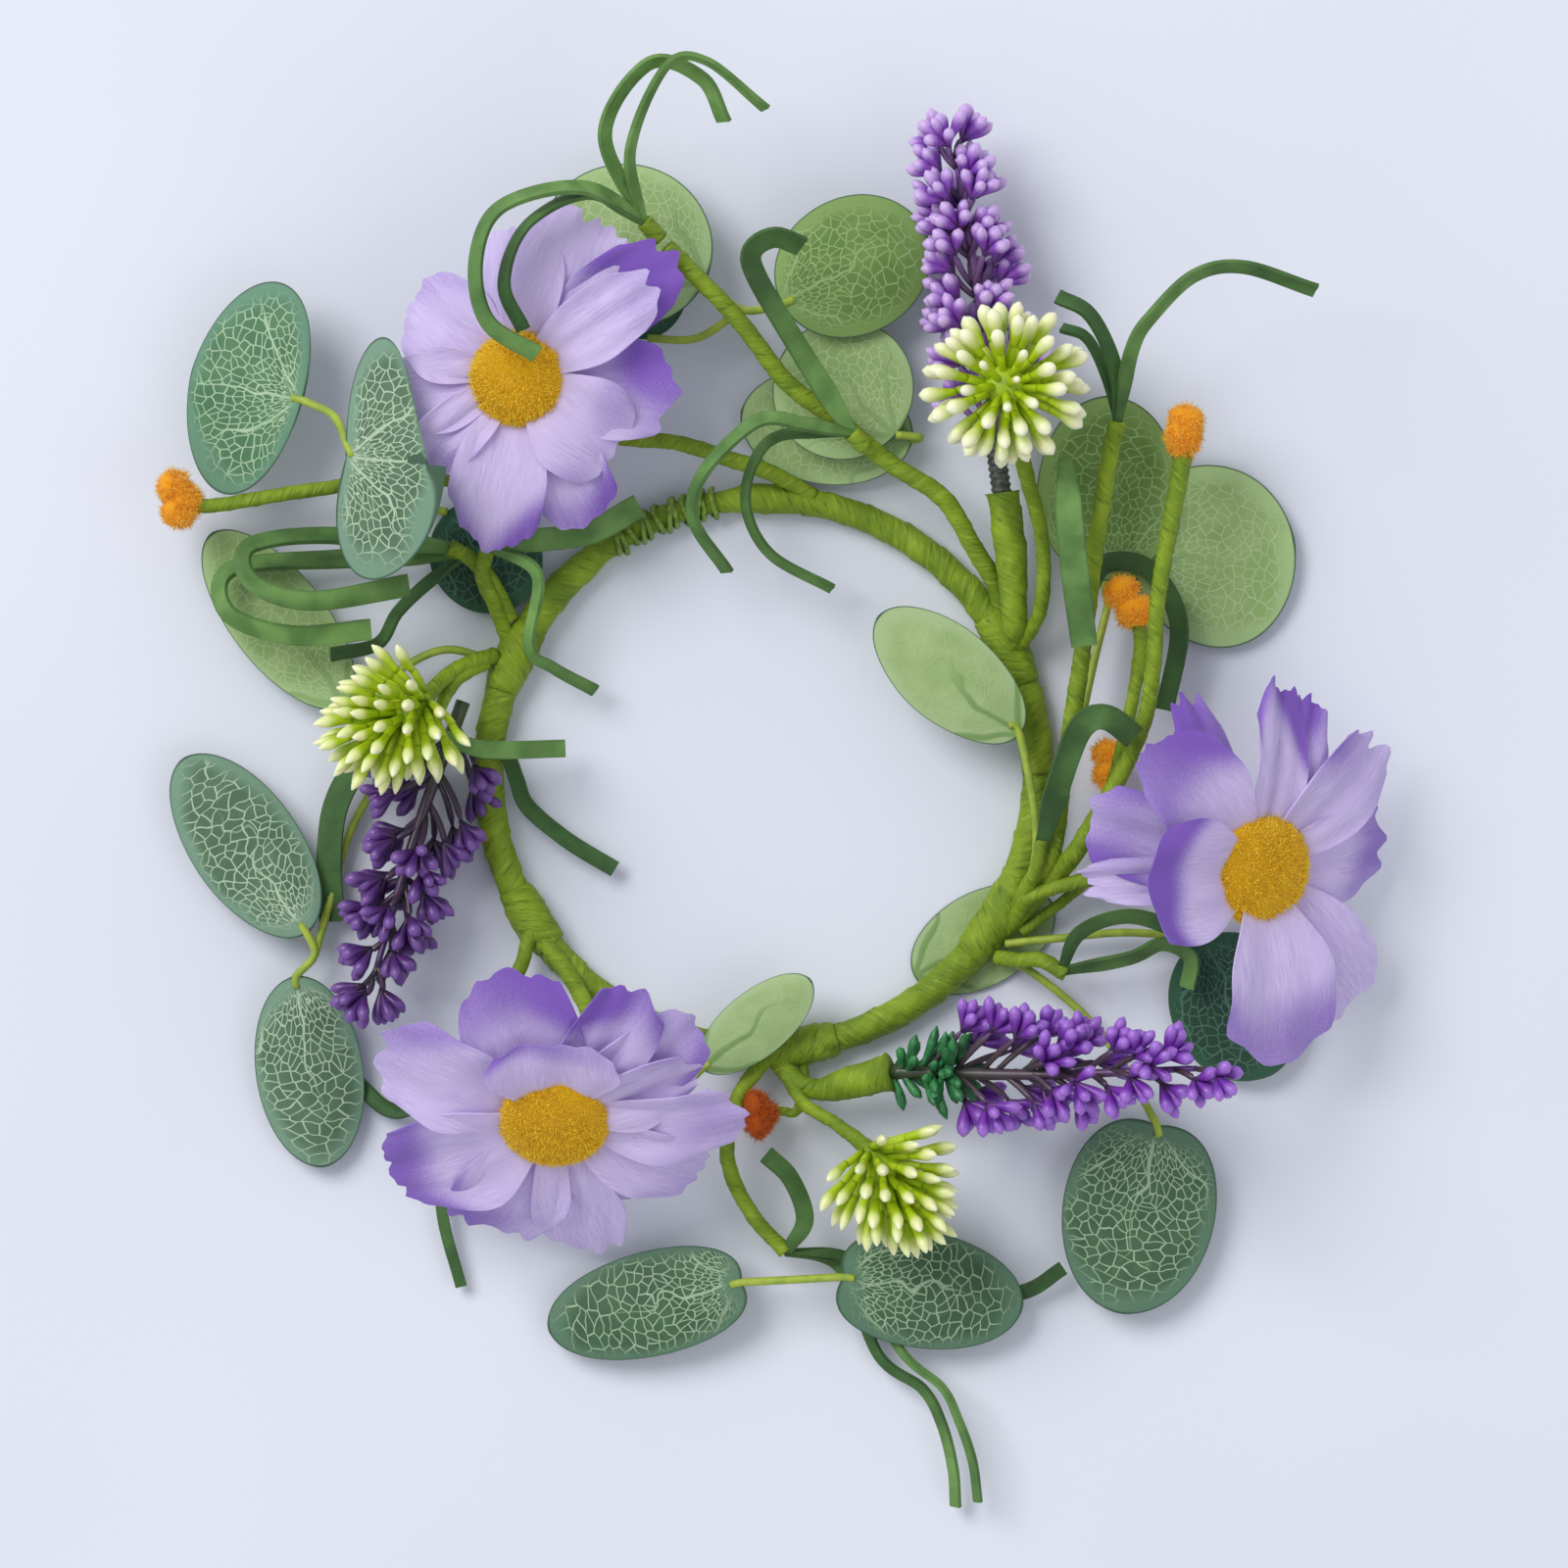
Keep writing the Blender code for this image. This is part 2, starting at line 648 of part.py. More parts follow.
def build_bud_balls():
    build_bud_ball(
        "top", (50.5, 31.0, 12.5),
        [
            (50.5, 31.0, 12.5, 1.3), (50.5, 42.0, 16.0, 1.3), (47.5, 54.0, 22.0, 1.4),
            (44.3, 66.0, 28.0, 1.6),
        ],
        (43.6, 69.5, 33.0), (-0.05, 0.1, 1.0), 15.5, -0.3,
    )
    build_bud_ball(
        "left", (-57.0, 18.0, 12.5),
        [(-57.0, 18.0, 12.5, 1.4), (-59.5, 15.5, 18.0, 1.4), (-61.5, 13.0, 24.0, 2.0)],
        (-64.5, 10.0, 28.0), (-0.75, -0.45, 0.35), 19.0, -0.25,
    )
    build_bud_ball(
        "bottom", (8.0, -60.5, 9.0),
        [(8.0, -60.5, 9.0, 1.2), (13.0, -63.5, 12.0, 1.2), (18.8, -67.8, 17.0, 1.5)],
        (21.5, -72.0, 20.5), (0.55, -0.62, 0.45), 18.0, -0.2,
    )


def orange_bud(name, path, end, size):
    """A wire stem whose tip carries a soft flocked bud."""
    tip = Vector(end)
    direction = (tip - Vector(path[-1][:3])).normalized()
    swell = [(-0.6, 0.9), (0.2, 1.0), (0.5, 0.55)]
    bud = [(*(tip + direction * size * along), size * share) for along, share in swell]
    first = (*(tip - direction * size * 0.95), size * 0.5)
    points = smooth_path(path, 7.0) + [Vector(first)] + [Vector(b) for b in bud]
    made = tube(name, points, 8)
    return place_still(made, name, "orange_flock", path[0][:3])


def build_orange_buds():
    thin = 1.1
    orange_bud(
        "orange_bud_left",
        [
            (-42.0, 49.5, 7.0, thin), (-60.5, 53.5, 8.0, thin), (-81.0, 51.5, 11.0, thin),
            (-99.5, 48.5, 14.0, thin),
        ],
        (-106.3, 49.5, 14.5), 4.8,
    )
    orange_bud(
        "orange_bud_upper_right",
        [
            (58.5, -11.0, 15.0, 1.6), (69.0, 10.0, 18.5, 1.5), (71.5, 33.0, 20.5, 1.4),
            (75.5, 55.5, 21.0, 1.3),
        ],
        (76.0, 63.0, 21.5), 4.6,
    )
    orange_bud(
        "orange_bud_right",
        [
            (57.0, -15.0, 11.0, thin), (62.5, -4.0, 12.6, thin), (66.0, 9.0, 13.0, thin),
            (68.5, 23.0, 13.0, thin),
        ],
        (66.5, 31.0, 13.5), 4.2,
    )
    orange_bud(
        "orange_bud_inner", [(64.5, -14.0, 6.0, thin), (64.5, -6.0, 6.0, thin)], (62.5, 1.5, 6.5), 3.8
    )
    orange_bud(
        "orange_bud_bottom", [(6.0, -61.5, 4.5, 0.9), (3.5, -61.5, 5.0, 0.9)], (-1.0, -62.0, 7.0), 4.0
    )


def build_leaves():
    leaf_pair(
        "leaf_pair_upper_left",
        dict(base=(-83.5, 67.5, 17.0), tip=(-103.5, 73.0, 11.0), half_width=19.7, cup=-2.0),
        dict(base=(-77.5, 60.5, 28.0), tip=(-62.0, 53.0, 31.5), half_width=21.0, cup=-1.5, lobe=3.0),
        [(-78.0, 64.0, 20.0)],
    )
    fork = (-4.0, 84.0, 14.0)
    pair = pair_sheet(
        dict(base=(-10.5, 89.5, 13.0), tip=(-39.0, 102.5, 8.0), half_width=14.5, cup=-2.0),
        dict(base=(3.5, 85.0, 13.0), tip=(29.0, 99.0, 9.0), half_width=12.5, cup=-2.0),
        [fork],
    )
    low = dict(base=(-21.0, 79.0, 8.0), tip=(-24.0, 103.0, 3.0), half_width=9.0, cup=-1.0)
    single = stalk_sheet(low, [fork, (-12.0, 79.0, 10.0)])
    fused("leaf_trio_top", "leaf_fabric", [pair, single], fork)
    leaf_pair(
        "leaf_pair_inner_top",
        dict(base=(24.0, 61.5, 8.5), tip=(5.0, 78.0, 8.0), half_width=13.0, cup=-1.5),
        dict(base=(27.0, 60.5, 5.5), tip=(-4.0, 65.5, 3.0), half_width=10.5, cup=-1.0),
        [(28.5, 61.0, 7.5)],
    )
    leaf_pair(
        "leaf_pair_right_top",
        dict(base=(62.0, 35.0, 7.0), tip=(63.0, 68.5, 6.0), half_width=13.0, cup=-1.0),
        dict(base=(67.5, 37.0, 4.0), tip=(96.5, 42.5, 3.0), half_width=17.0, cup=-1.0),
        [(63.0, 32.0, 6.0)],
    )
    leaf_on_stalk(
        "leaf_inner_right",
        dict(base=(46.5, 7.0, 11.0), tip=(21.0, 28.5, 12.0), half_width=8.5, cup=-1.0, arch=1.0),
        [(49.5, -9.0, 10.0)],
    )
    leaf_on_stalk(
        "leaf_behind_right_daisy",
        dict(base=(80.0, -30.0, 4.0), tip=(92.0, -55.0, 4.0), half_width=12.0, cup=-1.0),
        [(54.0, -30.0, 5.0), (66.0, -29.0, 4.0)],
    )
    leaf_pair(
        "leaf_pair_bottom",
        dict(base=(-4.0, -92.5, 8.5), tip=(-39.0, -101.0, 4.0), half_width=9.5, cup=-1.5, lobe=4.0),
        dict(base=(14.5, -91.5, 9.0), tip=(47.0, -97.0, 6.0), half_width=10.5, cup=-1.5, lobe=5.0),
        [(5.0, -92.0, 9.0)],
    )
    leaf_on_stalk(
        "leaf_bottom_right",
        dict(base=(71.5, -64.0, 7.5), tip=(64.5, -98.0, 5.5), half_width=14.0, cup=-1.5, lobe=4.0),
        [(50.0, -37.0, 4.5), (62.0, -48.0, 4.0)],
    )
    leaf_on_stalk(
        "leaf_bottom_inner",
        dict(base=(-11.0, -53.5, 10.0), tip=(8.5, -37.5, 11.0), half_width=5.8, cup=-0.8),
        [(-13.0, -55.5, 9.0)],
    )
    leaf_pair(
        "leaf_pair_left",
        dict(base=(-83.0, -29.0, 8.0), tip=(-105.5, 2.5, 6.0), half_width=9.8, cup=-1.5),
        dict(base=(-85.0, -37.0, 7.0), tip=(-80.0, -71.5, 3.5), half_width=9.8, cup=-1.5),
        [(-81.5, -33.0, 7.5)],
    )
    leaf_on_stalk(
        "leaf_left",
        dict(base=(-76.0, 12.5, 6.0), tip=(-100.5, 43.5, 3.5), half_width=8.5, cup=-1.0),
        [(-60.0, 22.0, 7.0)],
    )
    leaf_on_stalk(
        "leaf_behind_lap",
        dict(base=(-57.5, 47.5, 3.5), tip=(-45.0, 34.5, 2.5), half_width=8.6, cup=-0.5),
        [(-62.0, 48.5, 3.5)],
    )


def rod(controls, radius, step=7.0):
    """A plain length of taped stem, to be joined to the strips that grow from it."""
    return tube("rod", smooth_path([(*c, radius) for c in controls], step), 6)


def build_grass():
    spray = [
        (38.5, 40.5, 8.5, 1.7), (32.5, 50.0, 11.0, 1.7), (22.5, 56.5, 12.5, 1.7),
        (12.0, 65.0, 15.0, 1.7), (4.0, 71.0, 17.0, 1.6), (-5.0, 82.5, 20.0, 1.6),
        (-17.5, 95.0, 23.0, 1.6),
    ]
    stem("top_spray_stem", "floral_tape", spray)

    node = (-21.5, 99.5, 25.0)
    fused(
        "grass_top", "grass_foam",
        [
            rod([(-18.6, 96.4, 23.6), node], 1.6),
            strip("a", [
                node, (-28.5, 115.0, 31.0), (-20.5, 127.5, 34.0), (-11.0, 125.0, 31.0),
                (-7.0, 117.5, 27.0),
            ], 3.2, (30, 60)),
            strip("b", [
                node, (-24.0, 112.0, 31.0), (-17.5, 127.0, 36.5), (-10.0, 128.0, 36.5),
                (0.5, 119.5, 32.0),
            ], 2.6, (30, 60)),
            strip("c", [
                node, (-32.5, 104.5, 33.0), (-47.0, 101.5, 40.0), (-51.5, 92.0, 42.0),
                (-49.5, 81.0, 41.0), (-40.5, 75.0, 39.0),
            ], 3.4, (20, 30)),
            strip("d", [
                node, (-32.0, 102.5, 30.0), (-42.5, 98.0, 36.0), (-46.5, 88.0, 38.0),
                (-43.0, 79.5, 37.0),
            ], 3.0, (30, 20)),
        ],
        node,
    )
    node = (16.0, 61.5, 17.5)
    fused(
        "grass_inner_top", "grass_foam",
        [
            rod([(18.5, 59.0, 16.5), node], 1.6),
            strip("a", [
                node, (7.5, 75.0, 23.0), (-1.0, 89.0, 29.0), (-2.0, 94.0, 30.0), (2.0, 96.5, 29.0),
                (7.0, 95.0, 27.0),
            ], 4.6, (0, 40)),
            strip("c", [
                node, (7.5, 63.0, 23.0), (-1.0, 63.5, 26.0), (-10.5, 54.5, 25.0),
                (-12.5, 46.0, 22.0), (-6.5, 36.5, 16.0),
            ], 3.2, (0, 50)),
            strip("d", [
                node, (3.0, 61.0, 20.0), (-2.0, 55.5, 20.0), (-3.0, 47.5, 17.0), (1.5, 39.5, 13.0),
                (12.5, 33.5, 9.0),
            ], 2.2, (0, 40)),
        ],
        node,
    )
    node = (64.0, 63.5, 21.0)
    fused(
        "grass_right_top", "grass_foam",
        [
            rod([
                (52.5, -14.0, 12.0), (54.5, 0.0, 13.0), (57.5, 20.0, 15.5), (59.5, 36.5, 17.5),
                (62.5, 56.5, 20.0), node,
            ], 1.5),
            strip("a", [
                node, (66.5, 76.5, 26.0), (70.0, 82.5, 29.0), (77.5, 89.5, 32.0),
                (86.5, 91.0, 32.0), (99.5, 87.0, 29.0),
            ], 3.6, (20, 50)),
            strip("b", [
                node, (63.5, 73.0, 24.0), (59.0, 82.5, 27.0), (53.0, 86.0, 27.0),
            ], 3.4, (20, 30)),
            strip("c", [
                node, (62.0, 71.5, 22.0), (58.5, 78.5, 22.0), (54.0, 80.5, 20.0),
            ], 2.2, (20, 30)),
            strip("d", [
                (59.0, 32.0, 17.0), (62.0, 38.0, 11.5), (70.0, 37.0, 9.0), (75.5, 27.0, 7.5),
                (73.0, 11.5, 6.0),
            ], 3.6, (0, 20)),
        ],
        node,
    )
    drop = strip("drop", [(54.5, 57.0, 26.0), (55.5, 42.0, 27.0), (58.0, 23.0, 22.0)], 5.0)
    place_still(drop, "grass_right_drop", "grass_foam", (54.5, 57.0, 26.0))
    fused(
        "grass_right_arch", "grass_foam",
        [
            rod([(49.5, -17.0, 13.0), (50.5, -12.0, 15.0)], 1.2),
            strip("arch", [
                (50.5, -12.5, 15.0), (55.0, 3.0, 22.0), (58.0, 9.0, 25.0), (62.0, 10.0, 25.5),
                (67.0, 6.5, 23.0),
            ], 4.6, (10, 10)),
        ],
        (49.5, -17.0, 13.0),
    )
    fused(
        "grass_lower_right", "grass_foam",
        [
            rod([(50.5, -34.0, 8.0), (55.0, -36.5, 8.5)], 1.4),
            strip("a", [
                (54.0, -36.0, 8.5), (57.5, -29.0, 12.0), (66.5, -26.0, 13.0), (77.0, -29.0, 11.0),
            ], 3.2, (20, 20)),
            strip("b", [
                (54.0, -36.0, 8.5), (66.5, -33.5, 10.0), (72.5, -31.0, 10.5), (77.5, -33.5, 9.0),
                (77.0, -39.0, 7.5),
            ], 3.2, (30, 30)),
        ],
        (50.5, -34.0, 8.0),
    )
    node = (4.0, -87.0, 7.0)
    fused(
        "grass_bottom", "grass_foam",
        [
            rod([(-5.0, -60.0, 7.5), (-6.5, -70.0, 8.0), (-2.5, -79.5, 7.5), node], 1.4),
            strip("a", [
                node, (7.5, -81.0, 12.0), (5.0, -73.5, 15.0), (0.5, -69.0, 16.0),
            ], 3.6, (0, 20)),
            strip("c", [
                node, (14.0, -90.0, 3.0), (21.0, -106.0, 3.0), (29.0, -112.0, 5.0),
                (32.5, -118.5, 6.0), (34.5, -126.5, 5.0), (35.0, -133.5, 3.0),
            ], 2.4, (0, 40)),
            strip("d", [
                node, (16.0, -89.0, 5.0), (25.0, -105.0, 5.0), (32.5, -111.5, 8.0),
                (35.5, -117.5, 9.0), (38.0, -125.0, 8.0), (39.0, -132.5, 6.0),
            ], 2.0, (0, 40)),
            strip("e", [
                node, (16.0, -88.5, 4.0), (32.5, -96.0, 3.0), (47.0, -94.5, 3.5),
                (54.5, -90.0, 5.0),
            ], 2.8, (0, 10)),
        ],
        node,
    )
    node = (-57.0, 41.0, 9.0)
    fused(
        "grass_left", "grass_foam",
        [
            rod([(-52.5, 38.5, 8.0), node], 1.6),
            strip("a", [
                node, (-80.0, 43.0, 13.0), (-93.0, 41.0, 19.0), (-92.5, 34.5, 22.0),
                (-82.0, 31.0, 22.0), (-64.0, 34.0, 20.0),
            ], 4.2, (10, 20)),
            strip("b", [
                (-56.0, 40.0, 8.6), (-77.0, 39.0, 6.0), (-96.5, 37.0, 9.0), (-97.0, 29.0, 14.0),
                (-85.5, 25.0, 16.0), (-71.0, 26.0, 16.0),
            ], 4.2, (0, 20)),
            strip("c", [
                (-54.5, 39.5, 8.4), (-61.5, 34.0, 10.0), (-66.5, 29.0, 12.0), (-70.0, 23.5, 11.0),
                (-78.5, 21.5, 9.0),
            ], 3.0, (0, 20)),
        ],
        node,
    )
    node = (-50.0, 41.0, 10.5)
    fused(
        "grass_behind_daisy", "grass_foam",
        [
            rod([(-51.0, 36.0, 9.0), node], 1.4),
            strip("a", [
                node, (-44.0, 42.0, 12.5), (-32.0, 43.5, 14.0), (-22.5, 48.5, 13.5),
            ], 4.8, (10, 20)),
            strip("b", [
                node, (-41.0, 36.0, 14.0), (-42.5, 23.0, 12.0), (-38.0, 19.0, 9.0),
                (-30.5, 15.0, 6.0),
            ], 2.6, (0, 30)),
        ],
        node,
    )
    node = (-60.0, 8.0, 14.0)
    fused(
        "grass_left_low", "grass_foam",
        [
            rod([(-58.5, 12.0, 14.5), node], 1.2),
            strip("a", [node, (-53.0, 4.8, 14.5), (-47.0, 4.2, 12.0), (-36.0, 4.5, 9.5)], 3.4, (0, 0)),
            strip("b", [
                node, (-52.0, 4.2, 11.5), (-47.0, 3.6, 7.6), (-45.0, -1.0, 4.0),
                (-43.0, -6.0, 3.5), (-36.0, -12.0, 3.2), (-27.0, -17.5, 3.0),
            ], 2.8, (0, 0)),
            strip("wide", [
                node, (-69.0, 7.0, 9.0), (-77.0, -4.0, 6.0), (-79.0, -15.0, 4.5),
                (-78.5, -27.0, 3.5),
            ], 5.0),
        ],
        node,
    )
    node = (-55.0, -54.0, 6.0)
    fused(
        "grass_lower_left", "grass_foam",
        [
            rod([(-44.5, -36.0, 6.5), (-50.0, -46.0, 6.0), node], 1.3),
            strip("a", [node, (-66.5, -61.5, 3.5), (-75.0, -55.5, 1.2)], 2.8),
            strip("b", [node, (-58.0, -65.0, 4.0), (-58.5, -79.5, 3.0), (-55.0, -93.5, 2.0)], 2.2),
        ],
        node,
    )


clear_scene()
CROWN = new_collection("flower_crown")
build_hoop()
build_lap_wire()
for collar_name, collar_angle, collar_half in COLLARS:
    build_collar(collar_name, collar_angle, collar_half)
build_daisies()
build_lavender()
build_bud_balls()
build_orange_buds()
build_leaves()
build_grass()
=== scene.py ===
"""Looks for the flower crown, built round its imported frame.

Everything here is in millimetres from the hoop's centre, with +Z up from the table, until
Skin.piece() turns it into metres in the part's own frame. The hoop's centre and the joints
come from the frame.
"""

import json
import math

import bpy
import numpy as np
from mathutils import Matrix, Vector


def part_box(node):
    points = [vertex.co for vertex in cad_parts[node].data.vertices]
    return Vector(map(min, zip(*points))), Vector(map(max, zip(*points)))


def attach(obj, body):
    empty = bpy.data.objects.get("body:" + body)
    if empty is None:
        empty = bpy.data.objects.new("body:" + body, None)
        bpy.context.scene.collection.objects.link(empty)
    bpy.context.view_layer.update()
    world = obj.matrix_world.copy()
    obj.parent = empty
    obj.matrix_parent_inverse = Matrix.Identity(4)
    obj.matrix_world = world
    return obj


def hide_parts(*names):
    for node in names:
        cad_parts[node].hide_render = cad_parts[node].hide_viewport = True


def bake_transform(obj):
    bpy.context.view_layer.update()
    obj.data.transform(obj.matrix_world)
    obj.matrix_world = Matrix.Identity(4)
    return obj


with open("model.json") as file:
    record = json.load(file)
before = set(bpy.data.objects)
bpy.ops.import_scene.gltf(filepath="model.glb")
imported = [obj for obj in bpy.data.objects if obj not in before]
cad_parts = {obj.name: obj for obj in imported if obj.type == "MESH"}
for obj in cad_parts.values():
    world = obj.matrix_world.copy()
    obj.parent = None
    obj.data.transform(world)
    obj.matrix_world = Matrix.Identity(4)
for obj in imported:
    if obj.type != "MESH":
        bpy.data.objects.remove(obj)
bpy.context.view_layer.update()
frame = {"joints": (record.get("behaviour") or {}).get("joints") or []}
JOINTS = {joint["name"]: joint for joint in frame["joints"]}
LOW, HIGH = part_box("ring_core_wire")
HOOP_CENTRE = np.array([(LOW.x + HIGH.x) / 2, (LOW.y + HIGH.y) / 2, 0])
TAU = math.tau
GOLDEN_TURN = 2.399963  # turns of this many radians spread points evenly round an axis
UP = np.array([0, 0, 1])

# ---------------------------------------------------------------- numbers that shape the look
HOOP_RADIUS = 50
HOOP_HEIGHT = 2.6
TAPE_RADIUS = 2.75
LAP_RADIUS = 2
LAP_ANGLE = 112
LAP_HALF = 13
TAPE_PITCH = 7.5  # how far the wound tape moves on in one turn
STEM_RADIUS = 1.3
STRIP_THICKNESS = 0.8
LEAF_THICKNESS = 0.5
PETAL_THICKNESS = 0.3
LONGEST_PETAL = 34
VEIN_WIDTH = 0.15  # beside the size of the cells between the veins
LOWEST_TAPE = 0.02


# ---------------------------------------------------------------- colours and materials
def colour(code):
    """Linear colour from an sRGB code such as "8aa81e"."""
    values = [int(code[i : i + 2], 16) / 255 for i in (0, 2, 4)]
    linear = [v / 12.92 if v < 0.04045 else ((v + 0.055) / 1.055) ** 2.4 for v in values]
    return (*linear, 1)


class Value:
    """What a node puts out. Arithmetic on it adds the nodes that work it out."""

    def __init__(self, paint, socket):
        self.paint = paint
        self.socket = socket

    def __add__(self, other):
        return self.paint.sum("ADD", self, other)

    def __sub__(self, other):
        return self.paint.sum("SUBTRACT", self, other)

    def __mul__(self, other):
        return self.paint.sum("MULTIPLY", self, other)

    def __pow__(self, other):
        return self.paint.sum("POWER", self, other)


class Paint:
    """A node material under construction, with short calls for the usual nodes."""

    def __init__(self, name, **principled):
        self.material = bpy.data.materials.new(name)
        self.material.use_nodes = True
        self.tree = self.material.node_tree
        self.tree.nodes.clear()
        self.out = self.node("ShaderNodeOutputMaterial")
        self.shader = self.node("ShaderNodeBsdfPrincipled")
        for key, value in principled.items():
            self.set(self.shader, key.replace("_", " ").title(), value)
        self.set(self.out, 0, Value(self, self.shader.outputs[0]))
        spot = Value(self, self.node("ShaderNodeTexCoord").outputs["Object"])
        scaled = self.node("ShaderNodeVectorMath", {"operation": "SCALE"}, Vector=spot, Scale=1000)
        self.place = Value(self, scaled.outputs[0])  # where on the part, in millimetres
        self.tint = Value(self, self.attribute("tint").outputs["Fac"])
        lay = Value(self, self.attribute("lay").outputs["Vector"])
        split = self.node("ShaderNodeSeparateXYZ", Vector=lay)
        self.across, self.along, self.share = (Value(self, output) for output in split.outputs)

    def set(self, node, key, value):
        if isinstance(value, Value):
            self.tree.links.new(value.socket, node.inputs[key])
        else:
            node.inputs[key].default_value = value

    def node(self, kind, settings=None, **inputs):
        made = self.tree.nodes.new(kind)
        for key, value in (settings or {}).items():
            setattr(made, key, value)
        for key, value in inputs.items():
            self.set(made, key.replace("_", " "), value)
        return made

    def attribute(self, name):
        return self.node("ShaderNodeAttribute", {"attribute_name": name})

    def sum(self, operation, *values):
        """A scalar node: SQRT, MAXIMUM and so on."""
        made = self.node("ShaderNodeMath", {"operation": operation})
        for index, value in enumerate(values):
            self.set(made, index, value)
        return Value(self, made.outputs[0])

    def step(self, value, low, high):
        """0 below low, 1 above high, smooth between them."""
        smooth_step = {"interpolation_type": "SMOOTHSTEP"}
        made = self.node("ShaderNodeMapRange", smooth_step, Value=value, From_Min=low, From_Max=high)
        return Value(self, made.outputs[0])

    def point(self, x, y, z=0):
        return Value(self, self.node("ShaderNodeCombineXYZ", X=x, Y=y, Z=z).outputs[0])

    def noise(self, where, scale, detail=2, roughness=0.5):
        texture = "ShaderNodeTexNoise"
        made = self.node(texture, Vector=where, Scale=scale, Detail=detail, Roughness=roughness)
        return Value(self, made.outputs[0])

    def cell_edge(self, where):
        """How far a point is from the nearest border in a flat net of random cells."""
        kind = {"feature": "DISTANCE_TO_EDGE", "voronoi_dimensions": "2D"}
        made = self.node("ShaderNodeTexVoronoi", kind, Vector=where, Scale=1)
        return Value(self, made.outputs["Distance"])

    def mix(self, factor, first, second):
        """A colour between two others, each a code or what a node puts out."""
        made = self.node("ShaderNodeMix", {"data_type": "RGBA"})
        for index, value in ((0, factor), (6, first), (7, second)):
            self.set(made, index, colour(value) if isinstance(value, str) else value)
        return Value(self, made.outputs[2])

    def bump(self, height, strength, distance=0.0003):
        made = self.node("ShaderNodeBump", Height=height, Strength=strength, Distance=distance)
        self.set(self.shader, "Normal", Value(self, made.outputs[0]))

    def colour(self, value):
        self.set(self.shader, "Base Color", value)

    def glow_through(self, value, amount):
        """Lets light through a thin sheet, as fabric and leaves do."""
        thin = self.node("ShaderNodeBsdfTranslucent", Color=value)
        both = self.node("ShaderNodeMixShader")
        both.inputs[0].default_value = amount
        self.tree.links.new(self.shader.outputs[0], both.inputs[1])
        self.tree.links.new(thin.outputs[0], both.inputs[2])
        self.tree.links.new(both.outputs[0], self.out.inputs[0])


def petal_paint():
    """Lilac polyester, pale at the centre and sprayed violet towards the tips."""
    p = Paint("petal_cloth", roughness=0.85, sheen_weight=0.25, sheen_roughness=0.5)
    streaks = p.noise(p.point(p.across * 2.4, p.along * 0.25, p.tint), 1, 3)
    patches = p.noise(p.place, 0.16)
    grain = p.noise(p.place, 4, 2, 0.7)
    body = p.mix(p.step(streaks, 0.3, 0.75), "e8dbfc", "d6c4f0")
    body = p.mix(p.step(patches, 0.35, 0.7), body, "dfd0f6")
    base = p.step(p.along, 14, 5)
    body = p.mix(base * 0.35, body, "e4cfec")
    spray = p.share + (grain - 0.5) * 0.6
    body = p.mix(p.step(spray, 0.12, 1), body, "9166cf")
    p.colour(body)
    weave = streaks * 0.6 + grain * 0.4
    p.bump(weave, 0.35, 0.0004)
    p.glow_through(body, 0.3)
    return p.material


def flock_paint(name, dark, middle, light, lift):
    """Short dyed fibres, each a little lighter or darker than the next.

    lift is the strength of an emission in the fibres' own colour: a painted glow that lightens
    the shade between the fibres of the pile.
    """
    p = Paint(name, roughness=0.95, sheen_weight=0.2)
    low = p.mix(p.step(p.tint, 0, 0.45), dark, middle)
    body = p.mix(p.step(p.tint, 0.45, 1), low, light)
    p.colour(body)
    p.set(p.shader, "Emission Color", body)
    # painted glow: the flock gives off light in its own colour to lift the shade in its pile
    p.set(p.shader, "Emission Strength", lift)
    p.glow_through(body, 0.35)
    p.bump(p.noise(p.place, 6), 0.5)
    return p.material


def tape_paint():
    """Yellow-green crepe paper tape: waxy, with slanting creases where it was stretched, and
    painted highlight and shade on its creases and low parts.
    """
    p = Paint("crepe_tape", roughness=0.58, subsurface_weight=0.08)
    p.set(p.shader, "Specular IOR Level", 0.35)
    p.set(p.shader, "Subsurface Scale", 0.001)
    patches = p.noise(p.place, 0.16)
    slant = p.along * 0.85 + p.across * 0.5
    run = p.across * 0.85 - p.along * 0.5
    creases = p.noise(p.point(slant * 1.5, run * 0.22, 0), 1, 4, 0.62)
    body = p.mix(p.step(patches, 0.3, 0.7), "6c8717", "88a11f")
    # painted shade: darker where the wound tape lies low between its lapped edges
    body = p.mix(p.step(p.share, 0.3, 0) * 0.55, body, "455e10")
    # painted highlight on the crease ridges
    body = p.mix(p.step(creases, 0.52, 0.72) * 0.6, body, "a5bd3c")
    # painted shade in the crease hollows
    body = p.mix(p.step(creases, 0.45, 0.3) * 0.75, body, "485f11")
    body = p.mix(p.step(p.tint, 0.4, 1), body, "55782a")
    p.colour(body)
    p.bump(creases, 0.8, 0.0006)
    return p.material


